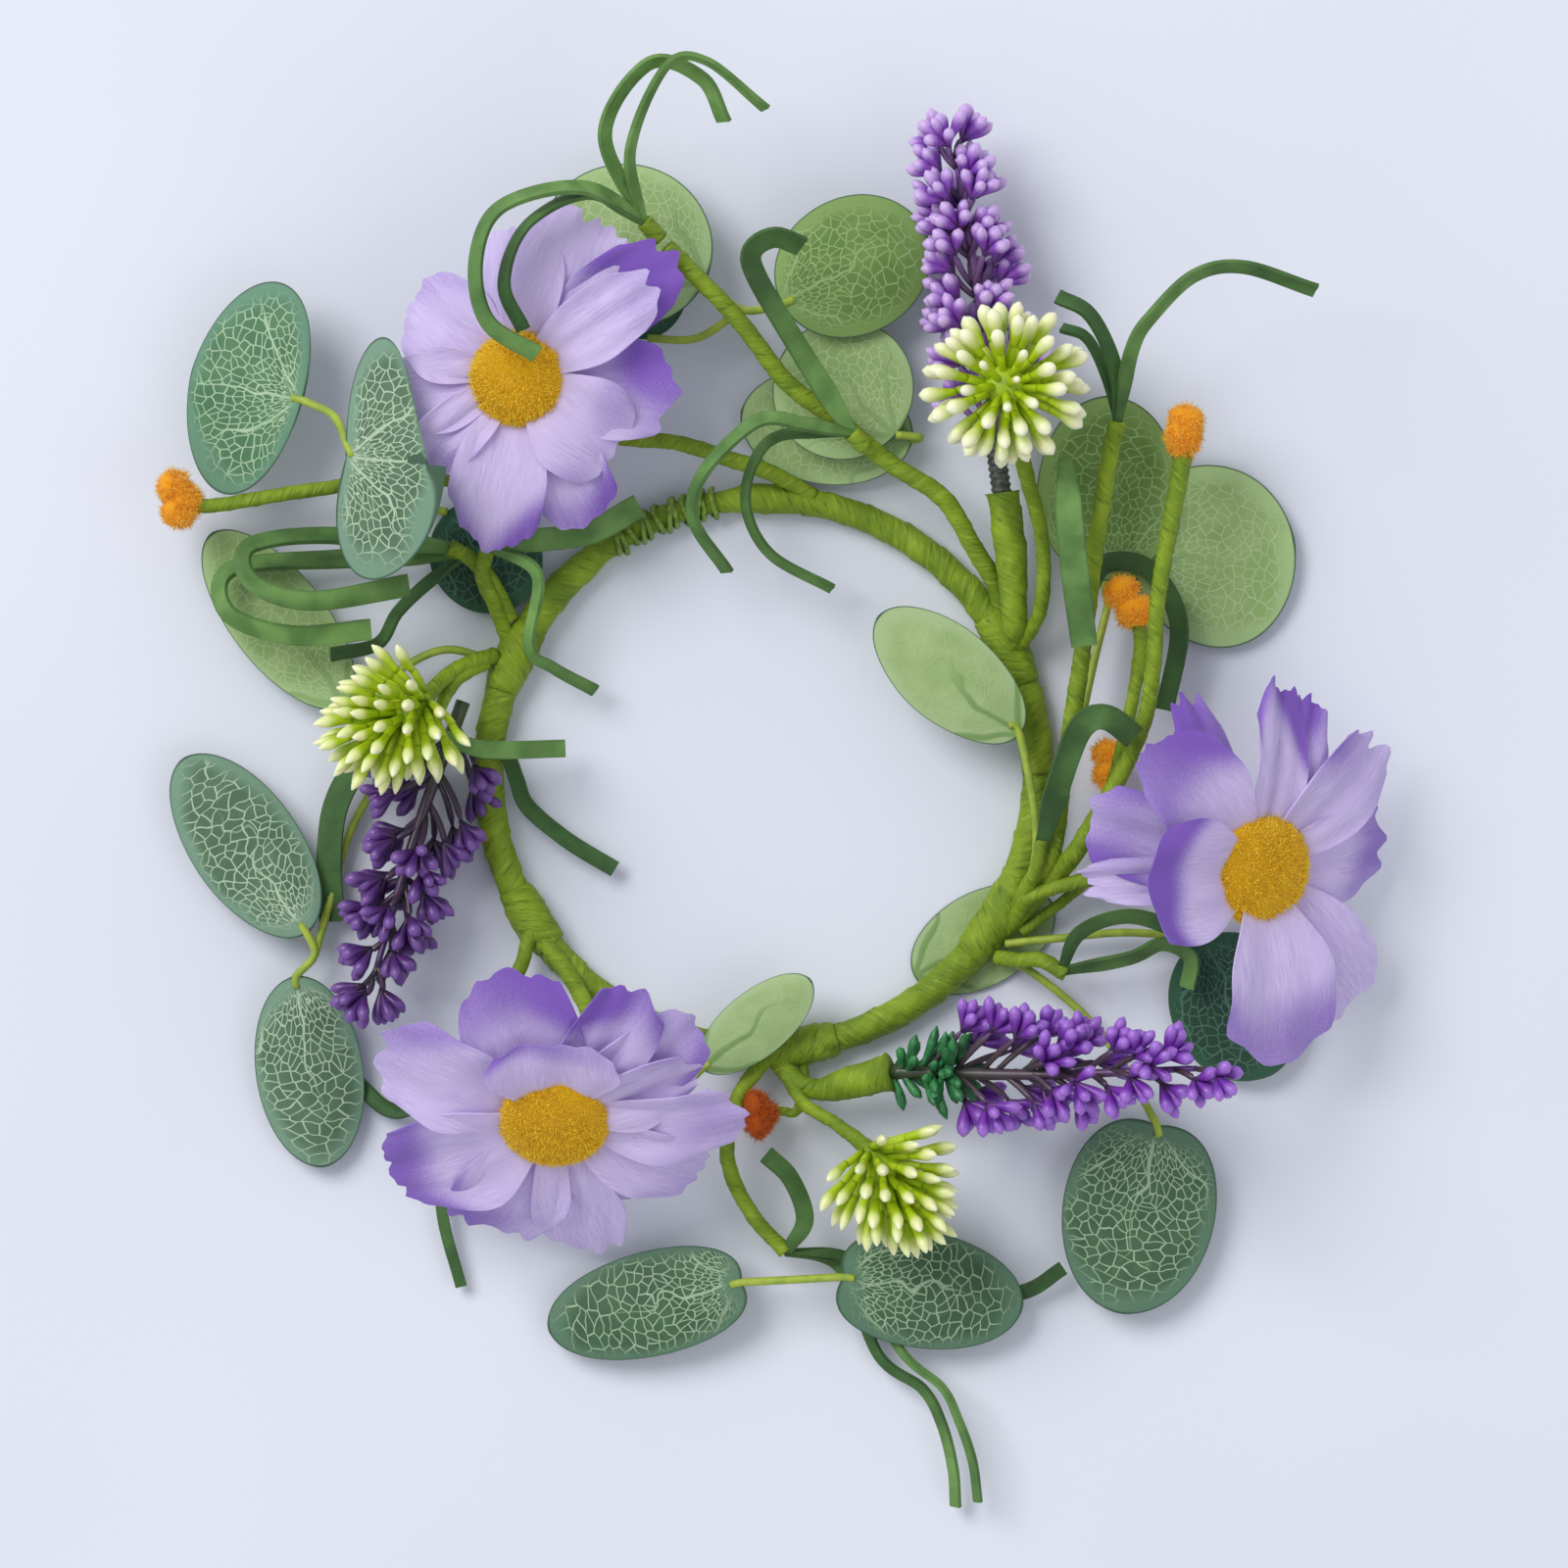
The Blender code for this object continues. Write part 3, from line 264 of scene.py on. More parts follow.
def leaf_paint(name, cell, middle, rim, vein, net, rib=0, rib_colour=None):
    """Stiffened leaf fabric, printed with a net of veins that fades before the rim.

    The net fans out from the stalk, so it is worked out by angle and distance from there.
    net and rib say how strongly the net of veins and the broad dark ribs show.
    """
    p = Paint(name, roughness=0.62, sheen_weight=0.08)
    reach = p.sum("SQRT", p.across**2 + p.along**2)
    angle = p.sum("ARCTAN2", p.across, p.along)
    wander = p.noise(p.place, 0.12, 1) - 0.5
    other = p.noise(p.place, 0.3, 1) - 0.5
    round_net = angle * 9.5 + wander * 1.6
    out_net = reach + other * 2
    where = p.point(round_net + p.tint * 90, out_net * 0.56)
    far = p.cell_edge(where) * p.sum("SQRT", reach * 0.36)
    fine = p.step(far, VEIN_WIDTH * 1.4, VEIN_WIDTH * 0.55)
    swing = angle * 1.3 + wander * 0.9
    off = p.sum("ABSOLUTE", p.sum("FRACT", swing + 0.5) - 0.5)
    main = off * reach * 0.77
    ribs = p.step(main, 0.3, 0.1) * p.step(reach, 30, 12)
    lines = p.sum("MAXIMUM", fine, ribs)
    faded = p.share + wander * 0.4
    inside = p.step(faded, 0.97, 0.76)
    blotch = p.noise(p.place, 0.18)
    body = p.mix(p.step(blotch, 0.35, 0.7), cell, middle)
    body = p.mix(p.step(faded, 0.7, 0.97), body, rim)
    body = p.mix(lines * inside * net, body, vein)
    if rib:
        wide = p.step(main, 0.85, 0.25) * p.step(reach, 22, 9)
        body = p.mix(wide * rib, body, rib_colour)
    body = p.mix(p.step(p.share, 0.975, 0.995), body, "3b5c45")
    p.colour(body)
    p.bump(lines * inside + p.noise(p.place, 3) * 0.5, 0.35)
    p.glow_through(body, 0.18)
    return p.material


def foam_paint():
    """Green foam sheet: matte, with cut edges that look darker and a few scuffs."""
    p = Paint("grass_sheet", roughness=0.7)
    patches = p.noise(p.place, 0.15)
    grain = p.noise(p.place, 2.6, 3)
    # painted shade: dark is the green of strips in shadow, light that of lit strips; tint picks between
    # them
    dark = p.mix(p.step(patches, 0.3, 0.7), "26491f", "345f27")
    light = p.mix(p.step(patches, 0.3, 0.7), "557d3a", "76a053")
    body = p.mix(p.step(p.tint, 0.1, 0.9), dark, light)
    body = p.mix(p.step(p.sum("ABSOLUTE", p.across), 0.8, 1) * 0.3, body, "2a4a1f")
    body = p.mix(p.step(grain, 0.55, 0.75) * 0.12, body, "8fb56c")
    p.colour(body)
    p.bump(grain, 0.25)
    return p.material


def lavender_paint(name, deep, body_colour, tip):
    """Soft moulded plastic: share runs from the stalk, through the body, to a pale tip."""
    p = Paint(name, roughness=0.38, subsurface_weight=0.35, coat_weight=0.1)
    p.set(p.shader, "Subsurface Scale", 0.0012)
    wander = p.noise(p.place, 0.5)
    value = p.share + (wander - 0.5) * 0.35
    body = p.mix(p.step(value, 0.1, 0.45), deep, body_colour)
    body = p.mix(p.step(value, 0.52, 0.95) * 0.85, body, tip)
    p.colour(body)
    p.bump(p.noise(p.place, 3), 0.15)
    return p.material


def bud_paint(name, cream):
    """Moulded buds: yellow-green stalks that turn cream from that share of their length on."""
    p = Paint(name, roughness=0.4, subsurface_weight=0.3, coat_weight=0.1)
    p.set(p.shader, "Subsurface Scale", 0.0015)
    wander = p.noise(p.place, 0.6)
    value = p.share + (wander - 0.5) * 0.2
    body = p.mix(p.step(value, 0.05, 0.35), "7f9d0c", "b2cb16")
    body = p.mix(p.step(value, cream, cream + 0.27), body, "dfe6a0")
    body = p.mix(p.step(value, cream + 0.23, cream + 0.5), body, "f0f2d0")
    p.colour(body)
    return p.material


def plain_paint(name, first, second, roughness=0.55, scale=0.6, metallic=0):
    """Two near colours wandering into each other, with fine grain."""
    p = Paint(name, roughness=roughness, metallic=metallic)
    p.colour(p.mix(p.step(p.noise(p.place, scale, 3), 0.35, 0.65), first, second))
    p.bump(p.noise(p.place, 3), 0.2)
    return p.material


PAINTS = {
    "petal": petal_paint(),
    # The last number of each flock is its painted glow, lifting the shade in the pile.
    "gold": flock_paint("gold_flock_fibres", "bd8a0c", "efc410", "fbe63c", 0.22),
    "orange": flock_paint("orange_flock_fibres", "e08a10", "f6b620", "ffd650", 0.2),
    # The orange flock painted darker, with less painted glow: painted shade for the bottom bud.
    "orange_shaded": flock_paint("orange_flock_shaded", "b8500c", "d8690f", "f08c28", 0.1),
    "tape": tape_paint(),
    "sage": leaf_paint("leaf_sage", "467852", "56875d", "67967a", "bddab2", 0.85),
    "deep": leaf_paint("leaf_deep", "3c6141", "48704c", "5c8267", "b4cfa8", 0.85),
    "grey": leaf_paint("leaf_grey", "4f7253", "5c8060", "7a9f86", "c4dcbc", 0.9),
    # dark: leaf green painted dark for the shade these leaves lie in under the sprays above them.
    "dark": leaf_paint("leaf_shaded", "143f2c", "1d4b35", "245a3e", "5f9778", 0.55),
    "mid": leaf_paint("leaf_mid", "648a3c", "74984a", "86a95c", "b6d192", 0.6),
    "pale": leaf_paint("leaf_pale", "93b46c", "a2c07a", "accb8c", "c9deb0", 0.6, 0.5, "6f9a4c"),
    "plain": leaf_paint("leaf_plain", "9ebb78", "abc686", "aec890", "b8d09c", 0.2, 0.75, "6d9648"),
    "foam": foam_paint(),
    "lavender": lavender_paint("lavender_plastic", "5f3d72", "8a4bb8", "d3b9ea"),
    "lavender_bright": lavender_paint("lavender_plastic_bright", "472a58", "742fa6", "a675d6"),
    # The lavender painted darker for the shade the left sprig lies in.
    "lavender_shaded": lavender_paint("lavender_plastic_shaded", "35203e", "4e2670", "7b55a2"),
    "lavender_stalk": lavender_paint("lavender_stalk", "4d4048", "6d4d7c", "8a5aa8"),
    "lavender_bright_stalk": lavender_paint("lavender_bright_stalk", "33422c", "4d3b48", "7a459c"),
    # The left sprig's stalks, painted darker for the shade it lies in.
    "lavender_shaded_stalk": lavender_paint("lavender_shaded_stalk", "3b4a2a", "402c46", "52306a"),
    "neck": plain_paint("wrapped_neck", "2f3430", "545a52", 0.5, 1.5),
    "leaflet": plain_paint("leaflet_plastic", "1f6436", "3b8a50", 0.4),
    "bud": bud_paint("bud_plastic", 0.48),
    "bud_young": bud_paint("bud_plastic_young", 0.57),
    "wire": plain_paint("binding_wire", "5c7a24", "83a03a", 0.5, 1),
    "stalk": plain_paint("leaf_stalk", "a3b53c", "8aa236", 0.5, 0.4),
}


# ---------------------------------------------------------------- numbers, paths and grids
def ripple(seed, x, y=0, z=0, waves=6):
    """A smooth wandering value, mostly between -1 and 1, the same for the same seed."""
    chance = np.random.default_rng(seed)
    total = 0
    for _ in range(waves):
        way = chance.normal(size=3)
        total = total + np.sin(x * way[0] + y * way[1] + z * way[2] + chance.uniform(0, TAU))
    return total / math.sqrt(waves)


def smooth(value, low, high):
    """0 below low, 1 above high, smooth between them, for arrays."""
    t = np.clip((value - low) / (high - low), 0, 1)
    return t * t * (3 - 2 * t)


def smooth_path(controls, step=1):
    """Points about step apart on a smooth curve through the control points."""
    controls = np.array(controls, float)
    first = 2 * controls[0] - controls[1]
    last = 2 * controls[-1] - controls[-2]
    padded = np.vstack([first, controls, last])
    points = []
    for i in range(1, len(padded) - 2):
        p0, p1, p2, p3 = padded[i - 1 : i + 3]
        count = max(1, round(np.linalg.norm(p2 - p1) / step))
        t = (np.arange(count) / count)[:, None]
        bent = (2 * p0 - 5 * p1 + 4 * p2 - p3) * t**2 + (3 * p1 - p0 - 3 * p2 + p3) * t**3
        points.append(0.5 * (2 * p1 + (p2 - p0) * t + bent))
    points.append(controls[-1][None])
    return np.vstack(points)


def unit(vectors):
    return vectors / np.maximum(np.linalg.norm(vectors, axis=-1, keepdims=True), 1e-9)


def directions(points):
    return unit(np.gradient(points[:, :3], axis=0))


def lengths(points):
    """How far along the path each of its points is."""
    gaps = np.linalg.norm(np.diff(points[:, :3], axis=0), axis=1)
    return np.concatenate([[0], np.cumsum(gaps)])


def carried_sides(points):
    """Two directions square to a path at each point, carried along it without twist."""
    along = directions(points)
    start = np.cross(along[0], UP)
    if np.linalg.norm(start) < 0.05:
        start = np.array([1, 0, 0])
    side = unit(start)
    sides = []
    for direction in along:
        side = unit(side - direction * (side @ direction))
        sides.append(side)
    sides = np.array(sides)
    return sides, np.cross(along, sides)


def grid_faces(rows, columns, ring=False):
    """Quads over a grid of points; ring joins the last column to the first."""
    wide = columns if ring else columns - 1
    i, j = np.meshgrid(np.arange(rows - 1), np.arange(wide), indexing="ij")
    a = i * columns + j
    b = i * columns + (j + 1) % columns
    return np.stack([a, b, b + columns, a + columns], -1).reshape(-1, 4).tolist()


class Skin:
    """One piece under construction: points, faces, and what its material reads.

    A material reads three numbers at each point as lay (across, along, share) and one as tint.
    """

    def __init__(self):
        self.points = []
        self.lay = []
        self.tint = []
        self.faces = []
        self.count = 0

    def add(self, points, faces, lay, tint=0.5):
        points = np.asarray(points, float).reshape(-1, 3)
        number = len(points)
        self.points.append(points)
        self.lay.append(np.broadcast_to(np.asarray(lay, float).reshape(-1, 3), (number, 3)))
        self.tint.append(np.broadcast_to(np.asarray(tint, float).ravel(), (number,)))
        start = self.count
        self.faces += [[start + index for index in face] for face in faces]
        self.count += number

    def piece(self, name, paint, body, replaces=(), thickness=0, root=None):
        """The finished object, riding on its CAD body.

        A stem given a root is not attached to its body but stays where it was built.
        """
        mesh = bpy.data.meshes.new(name)
        points = np.vstack(self.points) * 0.001 + HOOP_CENTRE
        mesh.from_pydata(points.tolist(), [], self.faces)
        lay = mesh.attributes.new("lay", "FLOAT_VECTOR", "POINT")
        lay.data.foreach_set("vector", np.vstack(self.lay).astype(np.float32).ravel())
        tint = mesh.attributes.new("tint", "FLOAT", "POINT")
        tint.data.foreach_set("value", np.concatenate(self.tint).astype(np.float32))
        mesh.shade_smooth()
        made = bpy.data.objects.new(name, mesh)
        bpy.context.scene.collection.objects.link(made)
        made.data.materials.append(PAINTS[paint])
        if thickness:
            solid = made.modifiers.new("thickness", "SOLIDIFY")
            solid.thickness = thickness * 0.001
            solid.offset = 0
            crisp = made.modifiers.new("crisp edges", "EDGE_SPLIT")
            crisp.split_angle = math.radians(55)
        if root is None:
            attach(made, body)
        else:
            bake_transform(made)
        if replaces:
            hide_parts(*([replaces] if isinstance(replaces, str) else replaces))


def sweep(skin, points, radii, sides=12, relief=None, tint=0.5, share=None):
    """A round skin along a path, closed at both ends.

    relief(angle, along) is added to the radius, and unless share says otherwise it is also what
    the material reads as share, which the tape paint darkens where low as painted shade.
    """
    rows = len(points)
    radii = np.broadcast_to(np.asarray(radii, float), (rows,))
    side, up = carried_sides(points)
    along = lengths(points)
    angle = np.arange(sides) / sides * TAU
    turns, runs = np.meshgrid(angle, along)
    height = relief(turns, runs) if relief else np.zeros_like(turns)
    reach = radii[:, None] + height
    ring = np.cos(turns)[..., None] * side[:, None] + np.sin(turns)[..., None] * up[:, None]
    body = points[:, None, :3] + ring * reach[..., None]
    if share is None:
        # the relief as share, painted darker where low by the tape paint
        shown = np.clip(0.5 + height / 0.5, 0, 1)
    else:
        shown = np.broadcast_to(np.asarray(share, float)[:, None], turns.shape)
    lay = np.stack([turns * radii[:, None], runs, shown], -1)
    faces = grid_faces(rows, sides, ring=True)
    faces.append(list(range(sides))[::-1])
    faces.append([(rows - 1) * sides + k for k in range(sides)])
    skin.add(body, faces, lay, tint)


# ---------------------------------------------------------------- taped stems
def tape_relief(seed, size=1):
    """The height of wound crepe tape: one lapped edge each turn, and wrinkles."""

    def height(angle, along):
        turn = along / (TAPE_PITCH * size) + angle / TAU + 0.15 * ripple(seed, along * 0.2)
        lap = (turn % 1) ** 4
        wound = ripple(seed + 1, turn * 22, along * 0.25)
        x, y = np.cos(angle) * 2, np.sin(angle) * 2
        lumps = ripple(seed + 2, x * 0.8, y * 0.8, along * 0.35)
        fine = ripple(seed + 3, x * 2.2, y * 2.2, along * 1.6)
        return size * (0.2 * lap + 0.05 * wound + 0.07 * lumps + 0.05 * fine - 0.03)

    return height


def taped(skin, controls, radius=None, seed=0, size=0.6, sides=20, step=0.5, tint=0.3):
    """A stem wound in floral tape. Control points may carry a radius as a fourth number."""
    points = smooth_path(controls, step)
    radii = points[:, 3] if points.shape[1] > 3 else radius
    sweep(skin, points, radii, sides, tape_relief(seed, size), tint)


def hoop_way(angle):
    """The way out from the hoop's centre at each angle."""
    return np.stack([np.cos(angle), np.sin(angle), np.zeros_like(angle)], -1)


def hoop_radius(angle):
    away = np.abs((angle - LAP_ANGLE + 180) % 360 - 180)
    blend = smooth(away, LAP_HALF - 1, LAP_HALF + 7)
    swell = 0.25 * ripple(5, angle * 0.05) * smooth(away, 20, 40)
    return LAP_RADIUS + (TAPE_RADIUS - LAP_RADIUS) * blend + swell


def build_hoop():
    degrees = np.linspace(0, 360, 721)[:-1]
    angle = np.radians(degrees)
    out = hoop_way(angle)
    centre = out * HOOP_RADIUS + UP * HOOP_HEIGHT
    sides = 36
    turns, runs = np.meshgrid(np.arange(sides) / sides * TAU, angle * HOOP_RADIUS)
    # A whole number of tape turns fits round the hoop.
    pitch = TAU * HOOP_RADIUS / 42
    turn = runs / pitch + turns / TAU
    ring_x = np.cos(runs / HOOP_RADIUS) * 18
    ring_y = np.sin(runs / HOOP_RADIUS) * 18
    lap = (turn % 1) ** 4
    lumps = ripple(11, ring_x, ring_y)
    lumps = lumps + ripple(12, np.cos(turns) * 2, np.sin(turns) * 2, ring_x * 0.6)
    wound = ripple(13, ring_x * 3, ring_y * 3, np.cos(turns) * 4 + np.sin(turns) * 3)
    height = 0.26 * lap + 0.05 * lumps + 0.06 * wound - 0.06
    reach = hoop_radius(degrees)[:, None] + height
    ring = np.cos(turns)[..., None] * out[:, None] + np.sin(turns)[..., None] * UP
    body = centre[:, None] + ring * reach[..., None]
    body[..., 2] = np.maximum(body[..., 2], LOWEST_TAPE)
    # share is the relief, which the tape paint darkens where low as painted shade
    lay = np.stack([turns * TAPE_RADIUS, runs, np.clip(0.5 + height * 1.5, 0, 1)], -1)
    faces = grid_faces(len(degrees), sides, ring=True)
    last = (len(degrees) - 1) * sides
    for k in range(sides):
        after = (k + 1) % sides
        faces.append([last + k, last + after, after, k])
    skin = Skin()
    skin.add(body, faces, lay, 0.2)
    skin.piece("hoop_tape", "tape", "ring", ("ring_tape_wrap", "ring_core_wire"))


def build_lap_wire():
    """Paper-covered wire wound over both ends of the hoop, in uneven groups of turns."""
    turns = 12
    t = np.linspace(0, turns, turns * 28)
    crowd = 0.9 * np.sin(t * TAU / 3)
    degrees = LAP_ANGLE - LAP_HALF + 0.8 + (t + crowd * 0.35) * ((2 * LAP_HALF - 1.6) / turns)
    lean = 1.1 * np.sin(t * 2.1 + 0.4)
    angle = np.radians(degrees + lean * np.cos(t * TAU))
    wind = LAP_RADIUS + 0.6 + 0.22 * np.sin(t * 3.7) + 0.14 * np.sin(t * 9.1)
    out = hoop_way(angle)
    offset = out * np.cos(t * TAU)[:, None] + np.sin(t * TAU)[:, None] * UP
    points = out * HOOP_RADIUS + UP * HOOP_HEIGHT + offset * wind[:, None]
    skin = Skin()
    sweep(skin, points, 0.52, 10)
    skin.piece("lap_wire", "wire", "ring", "lap_binding_wire")


# Each collar: its node, the angle of its middle and half its length, in degrees.
COLLARS = (
    ("binding_right_upper", 27, 4.5),
    ("binding_right_lower", -32, 6),
    ("binding_bottom", -84, 6),
    ("binding_left", 155, 4),
    ("binding_lower_left", 212, 3.5),
)


def build_collars():
    """Extra tape round the hoop where sprays are bound on, tapering at both ends."""
    for seed, (name, middle, half) in enumerate(COLLARS):
        angle = np.radians(np.linspace(middle - half - 3.5, middle + half + 3.5, 60))
        points = hoop_way(angle) * HOOP_RADIUS + UP * (HOOP_HEIGHT + 0.3)
        end = np.linspace(-1, 1, 60)
        radii = TAPE_RADIUS + 0.1 + 0.85 * (1 - end**2) ** 0.7
        skin = Skin()
        sweep(skin, points, radii, 32, tape_relief(60 + seed, 1.2), 0.15)
        skin.points[0][:, 2] = np.maximum(skin.points[0][:, 2], LOWEST_TAPE)
        skin.piece(f"{name}_tape", "tape", "ring", name)


# ---------------------------------------------------------------- grass strips
def across_vectors(points, rolls):
    """For each point of a path, the direction across a flat strip and its normal."""
    along = directions(points)
    flat = unit(np.stack([-along[:, 1], along[:, 0], np.zeros(len(along))], -1))
    normal = np.cross(along, flat)
    turn = np.radians(rolls)[:, None]
    return flat * np.cos(turn) + normal * np.sin(turn), normal * np.cos(turn) - flat * np.sin(turn)


def strip(skin, width, roll, tint, twist, controls, seed):
    """A flat foam strip along a path, square-cut at its far end and twisted midway."""
    points = smooth_path(controls, 1)
    rows = len(points)
    rolls = np.linspace(roll[0], roll[1], rows) + twist * np.sin(np.linspace(0, math.pi, rows))
    side, normal = across_vectors(points, rolls)
    along = lengths(points)
    share = np.array([-1, -0.85, -0.4, 0, 0.4, 0.85, 1])
    root = 0.55 + 0.45 * smooth(along, 0, 9)
    half = width / 2 * root * (1 + 0.04 * ripple(seed, along * 0.12))
    cup = 0.25 * ripple(seed + 1, along * 0.1)
    body = points[:, None, :3] + side[:, None] * (share[None, :, None] * half[:, None, None])
    body = body + normal[:, None] * (cup[:, None, None] * (share**2)[None, :, None])
    lay = np.stack(np.broadcast_arrays(share[None, :], along[:, None], 0.5), -1)
    # tint, painting shade from the shaded green to the lit green, wanders a little along the strip
    fade = tint + 0.25 * ripple(seed + 2, along * 0.06)
    skin.add(body, grid_faces(rows, len(share)), lay, np.repeat(fade, len(share)))


# Each grass node: its taped stem's control points and radius (or None), and its strips as
# (width, roll at both ends, tint from the green seen in shade 0 to the green seen lit 1, which
# paints shade onto whole strips, twist midway, control points).
END = "the stem's last point"
GRASS = {
    "grass_top": ([(-18.6, 96.4, 23.6), (-21.5, 99.5, 25)], 1.6, [
        (3, (30, 45), 0.75, 15, [END, (-28.5, 115, 31), (-20.5, 127.5, 34), (-11, 125, 31),
         (-7, 117.5, 27)]),
        (2.4, (30, 60), 0.85, 20, [END, (-24, 112, 31), (-17.5, 127, 36.5), (-10, 128, 36.5),
         (0.5, 119.5, 32)]),
        (3.2, (30, 25), 0.8, 25, [END, (-32.5, 105, 35), (-47, 101.5, 40.5), (-51.5, 92, 42),
         (-49.5, 81, 41), (-40.5, 75, 39)]),
        (2.8, (40, 30), 0.3, 25, [END, (-31.5, 104, 33.5), (-42.5, 98.5, 38), (-46.5, 88, 38),
         (-43, 79.5, 37)]),
    ]),
    "grass_inner_top": ([(18.5, 59, 16.5), (16, 61.5, 17.5)], 1.6, [
        (4.2, (0, 40), 0.35, 10, [END, (7.5, 75, 23), (-1, 89, 29), (-2, 94, 30), (2, 96.5, 29),
         (7, 95, 27)]),
        (2.7, (0, 50), 0.6, 20, [END, (7.5, 63, 23), (-1, 63.5, 26), (-10.5, 54.5, 25), (-12.5, 46, 22),
         (-6.5, 36.5, 16)]),
        (2, (0, 40), 0.5, 25, [END, (3, 61, 20), (-2, 55.5, 20), (-3, 47.5, 17), (1.5, 39.5, 13),
         (12.5, 33.5, 9)]),
    ]),
    "grass_right_top": (
        [(45, -27, 3.5), (48.5, -20, 8), (52.5, -14, 12), (54.5, 0, 13), (57.5, 20, 15.5),
         (59.5, 36.5, 17.5), (62.5, 56.5, 20), (64, 63.5, 21)],
        1.6, [
        (2.9, (20, 45), 0.6, 20, [END, (66.5, 76.5, 26), (70, 82.5, 29), (77.5, 89.5, 32), (86.5, 91, 32),
         (99.5, 87, 29)]),
        (2.9, (20, 35), 0, 15, [END, (63.5, 73, 24), (59, 82.5, 27), (53, 86, 27)]),
        (2, (20, 30), 0.25, 10, [END, (62, 71.5, 22), (58.5, 78.5, 22), (54, 80.5, 20)]),
        (3.4, (0, 20), 0.1, 10, [(59, 32, 17), (62, 38, 11.5), (70, 37, 9), (75.5, 27, 7.5),
         (73, 11.5, 6)]),
    ]),
    "grass_right_drop": (None, None, [
        (4.9, (0, 0), 0.65, 0, [(54.5, 57, 26), (55.5, 42, 27), (58, 23, 22)]),
    ]),
    "grass_right_arch": ([(45, -28, 4), (47.5, -22, 8.5), (49.5, -17, 13), (50.5, -12, 15)], 1.2, [
        (4.4, (10, 10), 0.55, 0, [(50.5, -12.5, 15), (55, 3, 22), (58, 9, 25), (62, 10, 25.5),
         (67, 6.5, 23)]),
    ]),
    "grass_lower_right": ([(42.5, -33.5, 4), (46.5, -34, 6.5), (50.5, -34, 8), (55, -36.5, 8.5)], 1.4, [
        (3, (20, 20), 0.2, 25, [(54, -36, 8.5), (57.5, -29, 12), (66.5, -26, 13), (77, -29, 11)]),
        (3, (30, 30), 0.7, 15, [(54, -36, 8.5), (66.5, -33.5, 10), (72.5, -31, 10.5), (77.5, -33.5, 9),
         (77, -39, 7.5)]),
    ]),
    "grass_bottom": (
        [(2, -50.5, 4), (-2, -55, 6), (-5, -60, 7.5), (-6.5, -70, 8), (-2.5, -79.5, 7.5), (4, -87, 7)],
        1.4, [
        (3.4, (0, 20), 0.45, 10, [END, (7.5, -81, 12), (5, -73.5, 15), (0.5, -69, 16)]),
        (2.1, (0, 40), 0.6, 20, [END, (14, -90, 3), (21, -106, 3), (29, -112, 5), (32.5, -118.5, 6),
         (34.5, -126.5, 5), (35, -133.5, 3)]),
        (1.7, (0, 40), 0.4, 20, [END, (16, -89, 5), (25, -105, 5), (32.5, -111.5, 8), (35.5, -117.5, 9),
         (38, -125, 8), (39, -132.5, 6)]),
        (2.7, (0, 10), 0.2, 0, [END, (16, -88.5, 4), (32.5, -96, 3), (47, -94.5, 3.5), (54.5, -90, 5)]),
    ]),
    "grass_left": ([(-46, 28, 4), (-49, 34, 6.5), (-52.5, 38.5, 8), (-57, 41, 9)], 1.5, [
        (4, (25, 12), 0.55, 30, [END, (-80, 43, 13), (-93, 41, 19), (-92.5, 34.5, 22), (-82, 31, 22),
         (-64, 34, 20)]),
        (4, (20, 12), 0.6, 30, [(-56, 40, 8.6), (-77, 39, 6), (-96.5, 37, 9), (-97, 29, 14),
         (-85.5, 25, 16), (-71, 26, 16)]),
        (2.8, (30, 40), 0.15, 15, [(-54.5, 39.5, 8.4), (-61.5, 34, 10), (-66.5, 29, 12), (-70, 23.5, 11),
         (-78.5, 21.5, 9)]),
    ]),
    "grass_behind_daisy": ([(-46.5, 24.5, 3.5), (-49, 31, 7), (-51, 36, 9), (-50, 41, 10.5)], 1.4, [
        (4.5, (10, 20), 0.5, 0, [END, (-44, 42, 12.5), (-32, 43.5, 14), (-22.5, 48.5, 13.5)]),
        (2.3, (0, 30), 0.6, 25, [END, (-41, 36, 14), (-42.5, 23, 12), (-38, 19, 9), (-30.5, 15, 6)]),
    ]),
    "grass_left_low": ([(-50.5, 20, 6), (-55.5, 17, 11.5), (-58.5, 12, 14.5), (-60, 8, 14)], 1.2, [
        (3.2, (0, 0), 0.6, 0, [END, (-53, 4.8, 14.5), (-47, 4.2, 12), (-36, 4.5, 9.5)]),
        (2.8, (0, 0), 0.3, 10, [END, (-52, 4.2, 11.5), (-47, 3.6, 7.6), (-45, -1, 4), (-43, -6, 3.5),
         (-36, -12, 3.2), (-27, -17.5, 3)]),
        (4.6, (0, 0), 0.15, 20, [END, (-69, 7, 9), (-77, -4, 6), (-79, -15, 4.5), (-78.5, -27, 3.5)]),
    ]),
    "grass_lower_left": (
        [(-41.5, -27, 4), (-43, -31, 6), (-44.5, -36, 6.5), (-50, -46, 6), (-55, -54, 6)],
        1.3, [
        (2.6, (0, 0), 0.15, 0, [END, (-66.5, -61.5, 3.5), (-75, -55.5, 1.2)]),
        (1.9, (0, 0), 0.3, 25, [END, (-58, -65, 4), (-58.5, -79.5, 3), (-55, -93.5, 2)]),
    ]),
}


def build_grass():
    for number, (node, (stem, radius, strips)) in enumerate(GRASS.items()):
        skin = Skin()
        for index, (*shape, controls) in enumerate(strips):
            controls = [stem[-1] if point == END else point for point in controls]
            strip(skin, *shape, controls, number * 10 + index)
        skin.piece(f"{node}_strips", "foam", "ring", node, STRIP_THICKNESS)
        if stem:
            skin = Skin()
            taped(skin, stem, radius, 100 + number)
            skin.piece(f"{node}_stem", "tape", "ring")


# ---------------------------------------------------------------- leaves
LEAF_ROWS = 40
LEAF_COLUMNS = 25
STALK_RADIUS = 0.75


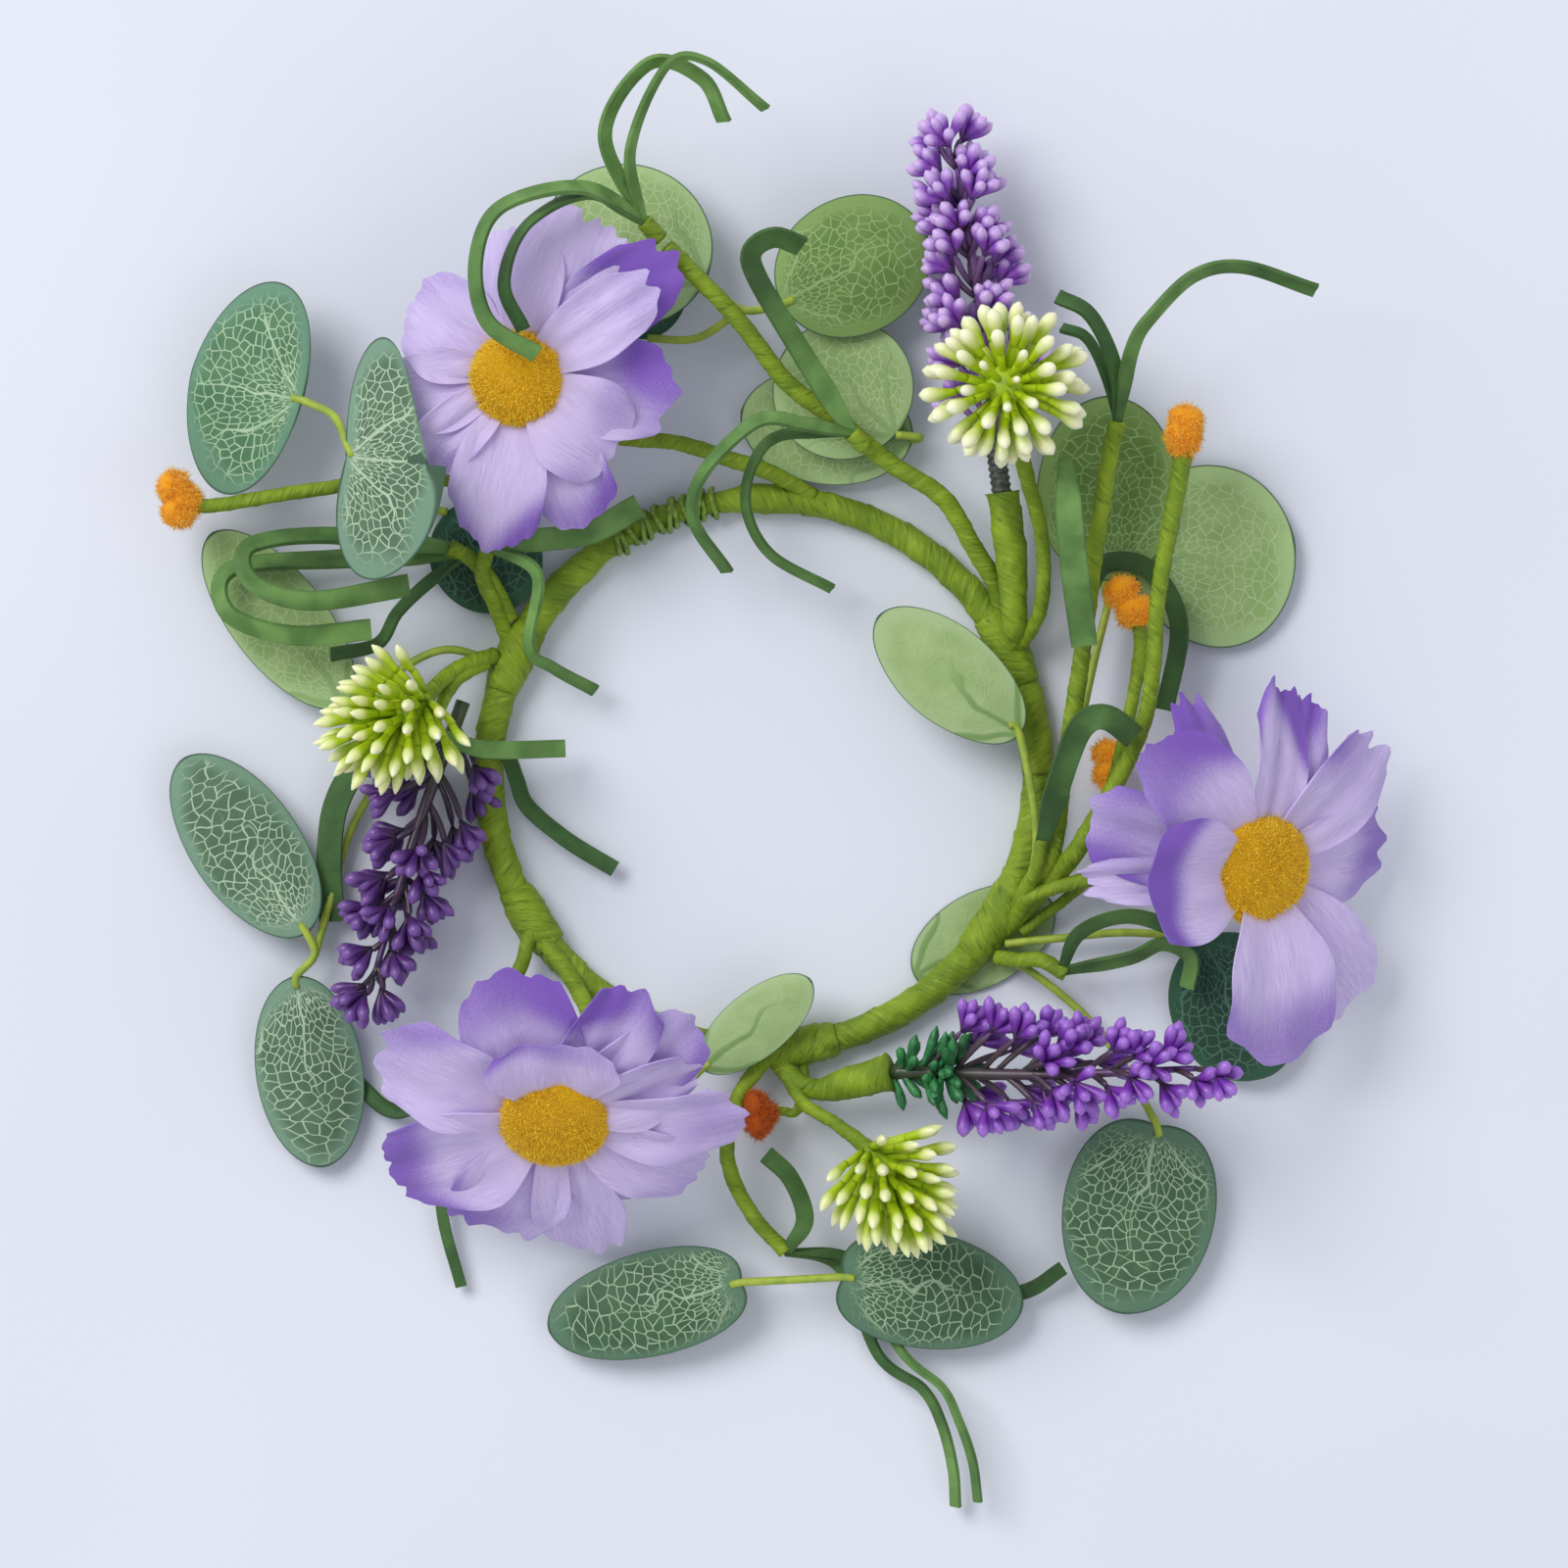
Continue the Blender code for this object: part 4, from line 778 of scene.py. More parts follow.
def leaf(skin, seed, base, tip, half_width, cup, lobe=0, uneven=0, arch=0):
    """A rounded leaf from the end of its stalk to its far edge.

    cup lifts the two edges, lobe sweeps the two sides back past the stalk, uneven makes one
    side shorter than the other, and arch lifts the middle.
    """
    base = np.array(base, float)
    tip = np.array(tip, float)
    way = unit(tip - base)
    side = unit(np.array([-way[1], way[0], 0]))
    normal = np.cross(way, side)
    turn = np.linspace(0, math.pi, LEAF_ROWS)[:, None]
    column = np.sin(np.linspace(-math.pi / 2, math.pi / 2, LEAF_COLUMNS))[None, :]
    t = (1 - np.cos(turn)) / 2
    wide = np.sin(turn) + 0 * column
    size = np.linalg.norm(tip - base)
    wave = 0.35 * ripple(seed, column * 1.3, t * 2.2)
    lift = cup * column**2 * wide + arch * np.sin(math.pi * t) + wave * wide
    back = lobe * column**2 * (1 - t) * wide
    x = half_width * wide * column
    y = (size * t - back) * (1 + uneven * column * np.abs(column))
    x = x * (1 + 0.025 * ripple(seed + 1, column * 1.4, t * 3))
    points = base + way * y[..., None] + side * x[..., None] + normal * lift[..., None]
    rim = np.sqrt(np.cos(turn) ** 2 + (column * np.sin(turn)) ** 2)
    lay = np.stack(np.broadcast_arrays(x, y, rim), -1)
    skin.add(points, grid_faces(LEAF_ROWS, LEAF_COLUMNS), lay, 0.1 + 0.037 * (seed % 23))


# Each leaf node: its leaves as (paint, base, tip, half width, cup, and any of lobe, uneven and
# arch), and the control points of its stalks.
LEAVES = {
    "leaf_pair_upper_left": ([
        ("sage", (-83.5, 67.5, 17), (-103.5, 73, 11), 19.7, -2),
        ("grey", (-75, 57, 28.5), (-60.5, 55.5, 31.5), 21.3, -1.5, 3.8, -0.24),
    ], [
        [(-85.5, 67.9, 16.5), (-83.5, 67.5, 17), (-77.5, 64.5, 21), (-75.3, 60, 27.5), (-74, 57, 28.6)],
        [(-77.5, 64.5, 21), (-74, 58, 16), (-70, 53, 10.5)],
    ]),
    "leaf_trio_top": ([
        ("pale", (-10.5, 89.5, 13), (-39, 102.5, 8), 14.5, -2),
        ("mid", (3.5, 85, 13), (29, 99, 9), 12.5, -2),
        # The third blade is painted dark for the shade of the grass above it.
        ("dark", (-21, 79, 8), (-24, 103, 3), 9, -1),
    ], [
        [(-12.5, 90.4, 12.7), (-10.5, 89.5, 13), (-4, 84, 14), (3.5, 85, 13), (5.5, 86.1, 12.7)],
        [(-4, 84, 14), (-12, 79, 10), (-21, 79, 8)],
    ]),
    "leaf_pair_inner_top": ([
        ("pale", (24, 61.5, 8.5), (5, 78, 8), 13, -1.5),
        ("pale", (27, 60.5, 5.5), (-4, 65.5, 3), 10.5, -1),
    ], [
        [(24, 61.5, 8.5), (28.5, 61, 7.5), (27, 60.5, 5.5)],
    ]),
    "leaf_pair_right_top": ([
        ("mid", (62, 35, 7), (63, 68.5, 6), 13, -1),
        ("pale", (67.5, 37, 4), (96.5, 42.5, 3), 17, -1),
    ], [
        [(62, 35, 7), (63, 32, 6), (67.5, 37, 4)],
        [(63, 32, 6), (60, 20, 8), (57, 6, 10)],
    ]),
    "leaf_inner_right": ([
        ("plain", (46.5, 7, 11), (21, 28.5, 12), 8.5, -1, 0, 0, 1),
    ], [
        [(45, -28, 4), (48.5, -20, 7.5), (49.5, -9, 10), (46.5, 7, 11), (44.5, 8.7, 11.3)],
    ]),
    "leaf_behind_right_daisy": ([
        ("dark", (80, -30, 4), (92, -55, 4), 12, -1),
    ], [
        [(44, -31, 4), (54, -30, 5), (66, -29, 4), (80, -30, 4)],
    ]),
    "leaf_pair_bottom": ([
        ("deep", (-4, -92.5, 8.5), (-39, -101, 4), 9.5, -1.5, 4),
        ("deep", (14.5, -91.5, 9), (47, -97, 6), 10.5, -1.5, 5),
    ], [
        [(-6, -93, 8.3), (-4, -92.5, 8.5), (5, -92, 9), (14.5, -91.5, 9), (16.5, -91.8, 8.9)],
    ]),
    "leaf_bottom_right": ([
        ("deep", (71.5, -64, 7.5), (64.5, -98, 5.5), 14, -1.5, 4),
    ], [
        [(42, -33, 3.5), (50, -37, 4.5), (62, -48, 4), (71.5, -64, 7.5), (71.2, -65.7, 7.4)],
    ]),
    "leaf_bottom_inner": ([
        ("plain", (-11, -53.5, 10), (8.5, -37.5, 11), 5.8, -0.8),
    ], [
        [(-13, -55.5, 9), (-11, -53.5, 10), (-9.8, -52.5, 10.1)],
    ]),
    "leaf_pair_left": ([
        ("grey", (-83, -29, 8), (-105.5, 2.5, 6), 9.8, -1.5),
        ("grey", (-85, -37, 7), (-80, -71.5, 3.5), 9.8, -1.5),
    ], [
        [(-84.2, -27.4, 7.9), (-83, -29, 8), (-81.5, -33, 7.5), (-85, -37, 7), (-84.7, -39, 6.8)],
        [(-81.5, -33, 7.5), (-79, -24, 4), (-74, -8, 3), (-60, 13, 5)],
    ]),
    "leaf_left": ([
        ("pale", (-76, 12.5, 6), (-100.5, 43.5, 3.5), 8.5, -1),
    ], [
        [(-50, 21, 4.5), (-60, 22, 7), (-76, 12.5, 6), (-77.2, 14, 5.9)],
    ]),
    "leaf_behind_lap": ([
        ("dark", (-57.5, 47.5, 3.5), (-43.5, 31.5, 2.5), 10.2, -0.5),
    ], [
        [(-62, 48.5, 3.5), (-57.5, 47.5, 3.5)],
    ]),
}


def build_leaves():
    seed = 200
    for node, (blades, stalks) in LEAVES.items():
        for index, (paint, *shape) in enumerate(blades):
            seed += 3
            skin = Skin()
            leaf(skin, seed, *shape)
            replaces = node if index == 0 else ()
            name = f"{node}_blade_{index + 1}"
            skin.piece(name, paint, "ring", replaces, LEAF_THICKNESS)
        skin = Skin()
        for controls in stalks:
            sweep(skin, smooth_path(controls), STALK_RADIUS, 10)
        skin.piece(f"{node}_stalk", "stalk", "ring")
    # The leaf that lies flat on the table under the hoop; the CAD has no room for it there.
    skin = Skin()
    leaf(skin, 290, (27.5, -37, 0.5), (52.5, -23.5, 0.6), 8.6, 0)
    skin.piece("leaf_under_hoop_blade", "plain", "ring", thickness=LEAF_THICKNESS / 2)


# ---------------------------------------------------------------- daisies
PETAL_ROWS = 30
PETAL_COLUMNS = 25
FLOCK_FIBRES = 700  # on each lobe of an orange bud


def petal(skin, head, tip, width, level, blush, curl, seed):
    """A broad ragged petal. tip is where its end is seen, from the flower's centre."""
    centre, facing = head
    dx, dy = tip
    dz = -(facing[0] * dx + facing[1] * dy) / facing[2]
    if dx * dx + dy * dy + dz * dz > LONGEST_PETAL**2:
        rest = max(LONGEST_PETAL**2 - dx * dx - dy * dy, 1)
        dz = math.copysign(math.sqrt(rest), dz)
    reach = np.array([dx, dy, dz])
    size = np.linalg.norm(reach)
    way = reach / size
    normal = unit(facing - way * (facing @ way))
    side = np.cross(normal, way)
    v = np.linspace(0, 1, PETAL_ROWS)[:, None]
    u = np.sin(np.linspace(-math.pi / 2, math.pi / 2, PETAL_COLUMNS))[None, :]
    widen = 0.24 + 0.76 * np.sin(math.pi / 2 * np.clip(v / 0.62, 0, 1)) ** 1.05
    close = 1 - 0.1 * np.clip((v - 0.62) / 0.38, 0, 1) ** 2
    half = 1.24 * width / 2 * widen * close * (1 + 0.05 * ripple(seed, v * 5, u * 0.8))
    teeth = 0.024 * ripple(seed + 1, u * 3) + 0.036 * ripple(seed + 2, u * 9)
    along = 2.5 + (size - 2.5) * (v * (1 - 0.16 * np.abs(u) ** 3.6 * v**2) + teeth * v**7)
    across = half * u
    crease = 0.3 * np.sin(u * 8 + 1.5 * ripple(seed + 3, v * 1.2, u * 0.5)) * smooth(v, 0.05, 0.5)
    valley = -0.7 * np.exp(-((u / 0.22) ** 2)) * np.sin(math.pi * np.clip(v * 1.15, 0, 1))
    wave = 1.1 * ripple(seed + 4, u * 1.1, v * 2.3) * smooth(v, 0.15, 0.9)
    rim = 0.8 * ripple(seed + 5, u * 2, v * 6) * np.abs(u) ** 3 * v
    bow = 2.6 * np.sin(math.pi * v) + curl * v**3
    cup = 1.3 * (u**2 - 0.3) * widen
    height = level + bow + cup + crease + valley + wave + rim
    points = centre + way * along[..., None] + side * across[..., None] + normal * height[..., None]
    patch = 0.5 + 0.5 * ripple(seed + 6, u * 1.2, v * 2)
    edge = smooth(v + 0.16 * np.abs(u) ** 2 + 0.12 * ripple(seed + 7, u * 1.6), 0.5, 0.98)
    spray = np.clip(edge * (0.45 + 0.85 * patch) * blush, 0, 1.2)
    lay = np.stack(np.broadcast_arrays(across, along, spray), -1)
    skin.add(points, grid_faces(PETAL_ROWS, PETAL_COLUMNS), lay, (seed % 17) / 17)


def fibres(skin, roots, normals, length, radius, seed, spread=0.5):
    """Short pointed fibres standing on a surface, each with its own tint."""
    chance = np.random.default_rng(seed)
    number = len(roots)
    lean = unit(normals + chance.normal(size=(number, 3)) * spread)
    side = unit(np.cross(lean, chance.normal(size=(number, 3))))
    other = np.cross(lean, side)
    long = length * chance.uniform(0.6, 1.25, (number, 1))
    corners = []
    for turn in (0, TAU / 3, 2 * TAU / 3):
        corners.append(roots + radius * (side * math.cos(turn) + other * math.sin(turn)))
    points = np.stack([*corners, roots + lean * long], 1)
    faces = np.array([[0, 1, 3], [1, 2, 3], [2, 0, 3], [0, 2, 1]])
    every = (faces[None] + 4 * np.arange(number)[:, None, None]).reshape(-1, 3)
    tint = np.repeat(chance.uniform(0, 1, number), 4).reshape(number, 4)
    tint[:, 3] = np.clip(tint[:, 3] + 0.3, 0, 1)
    skin.add(points, every.tolist(), (0, 0, 1), tint)


def basis(facing):
    """Two directions square to facing, the first as near +X as can be."""
    facing = unit(np.array(facing, float))
    first = unit(np.array([1, 0, 0]) - facing * facing[0])
    return first, np.cross(facing, first), facing


def flock_dome(skin, head, radius, floor, height, number, seed):
    """A domed centre, starting at floor above the head's joint, and its standing fibres."""
    centre, facing = head
    first, second, up = basis(facing)
    rings, sides = 14, 40
    polar = np.linspace(0, math.pi / 2, rings)[:, None]
    turn = (np.arange(sides) / sides * TAU)[None, :]
    lump = 1 + 0.03 * ripple(seed, np.cos(turn) * 3 * polar, np.sin(turn) * 3 * polar)

    def spot(polar, turn, scale=1):
        out = radius * np.sin(polar) * scale
        rise = floor + height * np.cos(polar) * scale
        flat = first * (out * np.cos(turn))[..., None] + second * (out * np.sin(turn))[..., None]
        return centre + flat + up * (rise + 0 * turn)[..., None]

    faces = grid_faces(rings, sides, ring=True)
    faces.append([(rings - 1) * sides + k for k in range(sides)][::-1])
    skin.add(spot(np.maximum(polar, 0.02), turn, lump), faces, (0, 0, 0), 0.2)
    chance = np.random.default_rng(seed)
    share = (np.arange(number) + 0.5) / number
    polar = np.arccos(1 - share * 0.98)
    turn = np.arange(number) * GOLDEN_TURN + chance.uniform(-0.05, 0.05, number)
    roots = spot(polar, turn, 0.985)
    rise = np.cos(polar)
    out = first * np.cos(turn)[:, None] + second * np.sin(turn)[:, None]
    normals = unit(out * (np.sin(polar) * height / radius + 0.25)[:, None] + up * rise[:, None])
    fibres(skin, roots, normals, 1.1, 0.13, seed + 1, 0.55)


# Each daisy: the stem's control points, the centre's radius, and its petals as
# (where the tip is seen, width, level, blush, curl), back ones first.
DAISIES = {
    "upper_left": (
        [(9, 50.5, 3.5, 1.4), (1.5, 54.5, 6.5, 1.5), (-6, 57, 9, 1.5), (-16, 60, 10.5, 1.4),
         (-30, 62, 11.5, STEM_RADIUS)],
        8.4,
        [((26.2, 21.4), 13, 0, 1.1, -1), ((12.5, -26.3), 12.5, 0, 0.7, -2),
         ((-19.1, 13.6), 15, 0.4, 0.6, -1), ((27.4, -2.5), 15, 0.4, 0.9, -1),
         ((0.8, 27.2), 12.5, 0.8, 0.25, -1), ((-21.6, -2.9), 13, 0.9, 0.15, 0)],
        [((-18, -15), 9.5, 1.8, 0.35, 1), ((-5.7, -29.8), 14, 1.6, 0.75, -2.5),
         ((13.2, 28.8), 16, 1.2, 0.65, -3.5), ((18, -13.2), 16.5, 2.4, 0.55, -1.5),
         ((23.8, 16.3), 11, 2.5, 0.3, 2)],
    ),
    "right": (
        [(44, -28.5, 3.5, 1.5), (46.5, -25, 6, 1.5), (49, -22, 9, 1.5), (58, -19.5, 10.5, 1.4),
         (70, -17.5, 13, STEM_RADIUS)],
        9.9,
        [((-13, 30.5), 8, 0, 0.9, 0), ((-30.8, -2.7), 7, 0, 0.8, -1), ((10.3, 29.9), 9.5, 0.2, 1, -0.5),
         ((-29.8, 8.8), 13, 0.6, 1.1, -1), ((25.2, 4.4), 14.5, 0.6, 0.65, -1),
         ((19.8, -23.5), 13.5, 0.4, 0.1, -1)],
        [((5, 32.6), 9.5, 1.4, 1, -1), ((23.3, 22.8), 13, 1.2, 0.6, -1), ((-17.9, 22), 15, 1.6, 0.9, -1),
         ((-20.8, -2.5), 18.5, 2.4, 1, 2.5), ((5.1, -34), 18, 1.6, 0.75, -2)],
    ),
    "lower_left": (
        [(-40.5, -29.5, 4.5, 1.5), (-34.5, -38, 6.5, 1.5), (-31, -46, 9, 1.5), (-33.5, -49, 12, 1.4)],
        9.8,
        [((-9.1, 24.3), 17.5, 0.3, 1.1, 0), ((25.2, 15.2), 13.5, 0, 0.8, -0.5),
         ((15.3, 22.6), 12.5, 0.6, 1.15, 0), ((11.4, -17.7), 10.5, 0.2, 0.25, -1),
         ((-13.3, -22), 17, 0.6, 0.6, -1), ((-30.6, 11.5), 16, 0.8, 0.6, -0.5)],
        [((32.6, -0.5), 13, 1.3, 0.5, -0.5), ((5.8, -25.7), 13.5, 1.4, 0.3, -1.5),
         ((-29.7, -11.7), 18, 1.9, 0.9, -1), ((25.9, -11.2), 12.5, 1.8, 0.45, -0.5),
         ((24.5, 8.2), 11.5, 2.2, 0.4, 0.5), ((0, 15.6), 19, 2.6, 0.55, 3)],
    ),
}


# The stem's end, as (how far below the head's joint, radius).
NECK = ((12, STEM_RADIUS), (5, 1.4), (2.8, 2.2), (1.2, 3.4), (0.8, 3.4))


def build_daisies():
    for number, (where, (path, disc, back, front)) in enumerate(DAISIES.items()):
        joint = JOINTS[f"daisy_{where}_turn"]
        centre = (np.array(joint["pos_m"]) - HOOP_CENTRE) * 1000
        facing = unit(np.array(joint["axis"]))
        head = (centre, facing)
        body = f"daisy_{where}_head"
        for layer, petals in (("back", back), ("front", front)):
            skin = Skin()
            for index, (tip, width, level, blush, curl) in enumerate(petals):
                seed = 1000 + number * 100 + index * 8 + (50 if layer == "front" else 0)
                petal(skin, head, tip, width, level, blush, curl, seed)
            node = f"daisy_{where}_petals_{layer}"
            skin.piece(f"{node}_cloth", "petal", body, node, PETAL_THICKNESS)
        skin = Skin()
        flock_dome(skin, head, disc, 2.9, 4.2, 2600, 700 + number)
        skin.piece(f"daisy_{where}_centre", "gold", body, f"daisy_{where}_disc")
        skin = Skin()
        end = [(*(centre - facing * down), radius) for down, radius in NECK]
        taped(skin, [*path, *end], seed=300 + number)
        stem = f"daisy_{where}_stem"
        skin.piece(f"daisy_{where}_taped_stem", "tape", stem, stem, root=path[0])


# ---------------------------------------------------------------- lavender and buds
def club(skin, start, end, radii, bend=0, sides=8, rows=7, tint=0.5, shares=(0, 1), point=0):
    """A finger from start to end; radii is (at the start, at the widest).

    shares is what its material reads as share at its two ends. point makes its end round at 0
    and sharp at 1.
    """
    start = np.array(start, float)
    end = np.array(end, float)
    t = np.linspace(0, 1, rows)
    way = unit(end - start)
    side = np.cross(way, (0.3, 0.2, 0.93))
    points = start + (end - start) * t[:, None] + side * (bend * np.sin(math.pi * t))[:, None]
    swell = radii[0] + (radii[1] - radii[0]) * np.sin(math.pi / 2 * np.clip(t / 0.75, 0, 1)) ** 2
    turn = np.clip((t - 0.72 + 0.12 * point) / (0.28 + 0.12 * point), 0, 1)
    cap = np.sqrt(np.clip(1 - turn**2, 0.03, 1)) * (1 - 0.45 * point * turn)
    sweep(skin, points, swell * cap, sides, tint=tint, share=shares[0] + (shares[1] - shares[0]) * t)


def floret(skin, stalks, root, way, outward, size, seed):
    """A side stalk that bends forward, with a fan of finger lobes at its end."""
    chance = np.random.default_rng(seed)
    way = unit(np.array(way, float))
    first = unit(np.cross(way, (0.13, 0.31, 0.94)))
    second = np.cross(way, first)
    tip = root + way * size
    club(stalks, root, tip, (0.5, 0.62), -0.5, 6, 5, shares=(0.2, 0.75))
    lobes = chance.integers(5, 7)
    spin = chance.uniform(0, TAU)
    for k in range(lobes):
        turn = spin + k * TAU / max(lobes - 1, 1)
        out = 0.85 if k else 0.1
        fan = (first * math.cos(turn) + second * math.sin(turn)) * out * chance.uniform(0.7, 1.25)
        lean = unit((way + outward * 0.35 + fan) * (1, 1, 0.5))
        long = chance.uniform(5, 7)
        wide = chance.uniform(1, 1.35)
        start = tip - way * chance.uniform(0.3, 1.2)
        club(skin, start, start + lean * long, (0.42, wide), chance.uniform(-0.4, 0.4), 8, 10)


# Each lavender spike: its body, its two ends, the number of tiers, their reach, the share of its
# length where the florets start and where they stop hanging underneath, and its paint.
LAVENDER = {
    "lavender_top_spike": (
        "lavender_top", (43.2, 51.3, 11.1), (34.5, 113.5, 15), 9, 12.5, 0.2, 1, "lavender",
    ),
    "lavender_right_spike": (
        "lavender_right", (23.3, -54.2, 11.4), (80.5, -53, 35.7), 10, 12.5, 0.14, 0.55, "lavender_bright",
    ),
    # Its paint is the lavender painted darker for the shade it lies in.
    "lavender_left_spike": (
        "lavender_left", (-54.5, 13, 9), (-71, -38, 12.6), 7, 12, 0.12, 1, "lavender_shaded",
    ),
}


# The flared tape sleeve of two of the sprigs, as control points with radii.
SLEEVES = {
    "lavender_top": [
        (44.2, 21.5, 3, 2.4), (45.2, 25, 6, 2.3), (45.5, 28.5, 9, 2.3), (45, 39, 10, 2.9),
        (43.6, 49.5, 11, 2.9), (43.4, 51, 11.1, 3.3),
    ],
    "lavender_right": [
        (1, -50.5, 3.5, 1.8), (5.5, -55.5, 5.5, 1.8), (9.5, -57.5, 7, 1.9), (14.5, -56.5, 8.5, 2.9),
        (21.5, -54.7, 10.8, 3.3), (23, -54.3, 11.3, 3.8),
    ],
}


def spike_frame(node):
    """A lavender spike's base, tip, way along it and two directions square to that."""
    base, tip = (np.array(end) for end in LAVENDER[node][1:3])
    way = unit(tip - base)
    first = unit(np.cross(way, UP))
    return base, tip, way, first, np.cross(way, first)


def build_lavender():
    for number, (node, (body, _, _, tiers, reach, start, clear, paint)) in enumerate(LAVENDER.items()):
        base, tip, way, first, second = spike_frame(node)
        chance = np.random.default_rng(40 + number)
        flowers = Skin()
        stalks = Skin()
        spine = smooth_path([base, (base + tip) / 2 + first * 0.8, tip - way * 3], 1.5)
        sweep(stalks, spine, np.linspace(1.35, 0.55, len(spine)), 8, share=np.linspace(0, 1, len(spine)))
        for tier in range(tiers):
            share = start + (0.97 - start) * tier / (tiers - 1)
            middle = base + (tip - base) * share
            around = 5 if tier < tiers - 2 else 3
            spin = chance.uniform(0, TAU)
            for k in range(around):
                turn = spin + k * TAU / around + chance.uniform(-0.25, 0.25)
                out = unit(first * math.cos(turn) + second * 0.65 * math.sin(turn))
                size = reach * (1 - 0.55 * share) * chance.uniform(0.7, 1.1)
                lean = unit(out + way * (0.9 + 1 * share))
                root = middle + way * chance.uniform(-3, 1)
                under_tip = share > clear and out[2] < 0.05
                over_foot = share < 0.35 and out[2] > 0.5
                if under_tip or over_foot or root[2] + lean[2] * size < 4.5:
                    continue
                floret(flowers, stalks, root, lean, out, size, 5000 + number * 500 + tier * 10 + k)
        flowers.piece(f"{node}_florets", paint, body, node)
        stalks.piece(f"{node}_stalks", f"{paint}_stalk", body)
    for number, (body, path) in enumerate(SLEEVES.items()):
        skin = Skin()
        taped(skin, path, seed=80 + number, size=1, sides=32, step=0.35)
        skin.piece(f"{body}_sleeve", "tape", body, f"{body}_stem", root=path[0])
    build_neck()
    build_leaflets()


def build_neck():
    """The grey wrapped neck between the top sprig's sleeve and its florets."""
    base, tip, *_ = spike_frame("lavender_top_spike")
    points = smooth_path([base - (tip - base) * 0.01, base + (tip - base) * 0.17], 0.25)
    skin = Skin()
    sweep(skin, points, 1.75, 16, lambda angle, along: 0.16 * np.sin(along * 5 + angle))
    skin.piece("lavender_top_neck", "neck", "lavender_top")


def build_leaflets():
    """Dark green spoon-shaped leaflets at the foot of the right-hand sprig."""
    base, _, way, first, second = spike_frame("lavender_right_spike")
    chance = np.random.default_rng(77)
    skin = Skin()
    for k in range(44):
        turn = k * GOLDEN_TURN
        out = first * math.cos(turn) + second * math.sin(turn)
        root = base + way * chance.uniform(-1, 13)
        lean = unit(out + way * chance.uniform(-0.1, 0.9))
        end = root + lean * chance.uniform(5.5, 9.5)
        club(skin, root, end, (0.4, 0.95), chance.uniform(-0.6, 0.6), tint=chance.uniform())
    skin.piece("lavender_right_leaflets", "leaflet", "lavender_right")


def bud_ball(skin, centre, facing, reach, spread, number, point, lean, seed):
    """Cream club buds on yellow-green stalks, all round a small hub.

    Buds near the middle are younger and smaller. point is how sharp the tips are, and lean
    how much the buds draw together towards the way the ball faces.
    """
    first, second, up = basis(facing)
    centre = np.array(centre, float)
    chance = np.random.default_rng(seed)
    club(skin, centre - up * 3.5, centre + up * 4.5, (2.2, 3.8), 0, 14, 10, shares=(0, 0.3))
    for k in range(number):
        rise = 1 - (1 - spread) * ((k + 0.5) / number) ** 0.85
        turn = k * GOLDEN_TURN + chance.uniform(-0.15, 0.15)
        flat = math.sqrt(max(1 - rise * rise, 0))
        out = first * flat * math.cos(turn) + second * flat * math.sin(turn)
        way = unit(out + up * (rise + lean))
        grown = 0.45 + 0.55 * smooth(flat, 0.15 - 0.5 * lean, 0.8 - 0.5 * lean)
        long = reach * chance.uniform(0.9, 1.03) * (0.72 + 0.28 * grown) * (1 - 0.3 * lean)
        hub = centre + up * (rise - 0.2) * 9 * lean
        root = hub + way * 2
        neck = hub + way * (long - 6.8 * grown)
        end = hub + way * long + up * chance.uniform(-0.3, 0.6)
        bend = chance.uniform(-0.4, 0.4)
        club(skin, root, neck + way * 1.5, (0.7, 0.75), bend, 7, 5, shares=(0.1, 0.45))
        wide = chance.uniform(1.2, 1.5) * grown * (1 - 0.25 * lean)
        bend = chance.uniform(-0.4, 0.4)
        club(skin, neck, end, (0.7, wide), bend, 10, 10, shares=(0.3, 1), point=point)


# Each bud ball: the stem's control points, its paint, the ball's centre, the way it faces, its
# reach, how far the buds go round the hub, their number, how pointed they are, and their lean.
BUD_BALLS = {
    "top": (
        [(44.5, 21, 3, 1.3), (48.5, 26, 8, 1.3), (50.5, 31, 12.5, 1.3), (50.5, 42, 16, 1.3),
         (47.5, 54, 22, 1.4), (44.3, 66, 28, 1.6)],
        "bud", (43.6, 69.5, 33), (-0.05, 0.1, 1), 15.5, -0.35, 60, 0.1, 0,
    ),
    "left": (
        [(-49, 21.5, 5, 1.5), (-53.5, 20, 9, 1.4), (-57, 18, 12.5, 1.4), (-59.5, 15.5, 18, 1.4),
         (-61.5, 13, 24, 2)],
        "bud_young", (-63, 11.5, 28), (-0.75, -0.5, 0.3), 19, -0.5, 64, 0.85, 0.6,
    ),
    "bottom": (
        [(2, -50.5, 4, 1.2), (5, -56.5, 6.5, 1.2), (8, -60.5, 9, 1.2), (13, -63.5, 12, 1.2),
         (18.8, -67.8, 17, 1.5)],
        "bud_young", (21, -70.5, 20.5), (0.5, -0.75, 0.35), 19.5, -0.45, 58, 0.7, 0.7,
    ),
}


def build_bud_balls():
    for number, (where, (path, paint, centre, facing, *growth)) in enumerate(BUD_BALLS.items()):
        body = f"bud_ball_{where}"
        skin = Skin()
        bud_ball(skin, centre, facing, *growth, 60 + number)
        skin.piece(f"{body}_buds", paint, body, f"{body}_head")
        skin = Skin()
        taped(skin, [*path, (*centre, path[-1][3])], seed=90 + number, tint=0.1)
        skin.piece(f"{body}_taped_stem", "tape", body, f"{body}_stem", root=path[0])


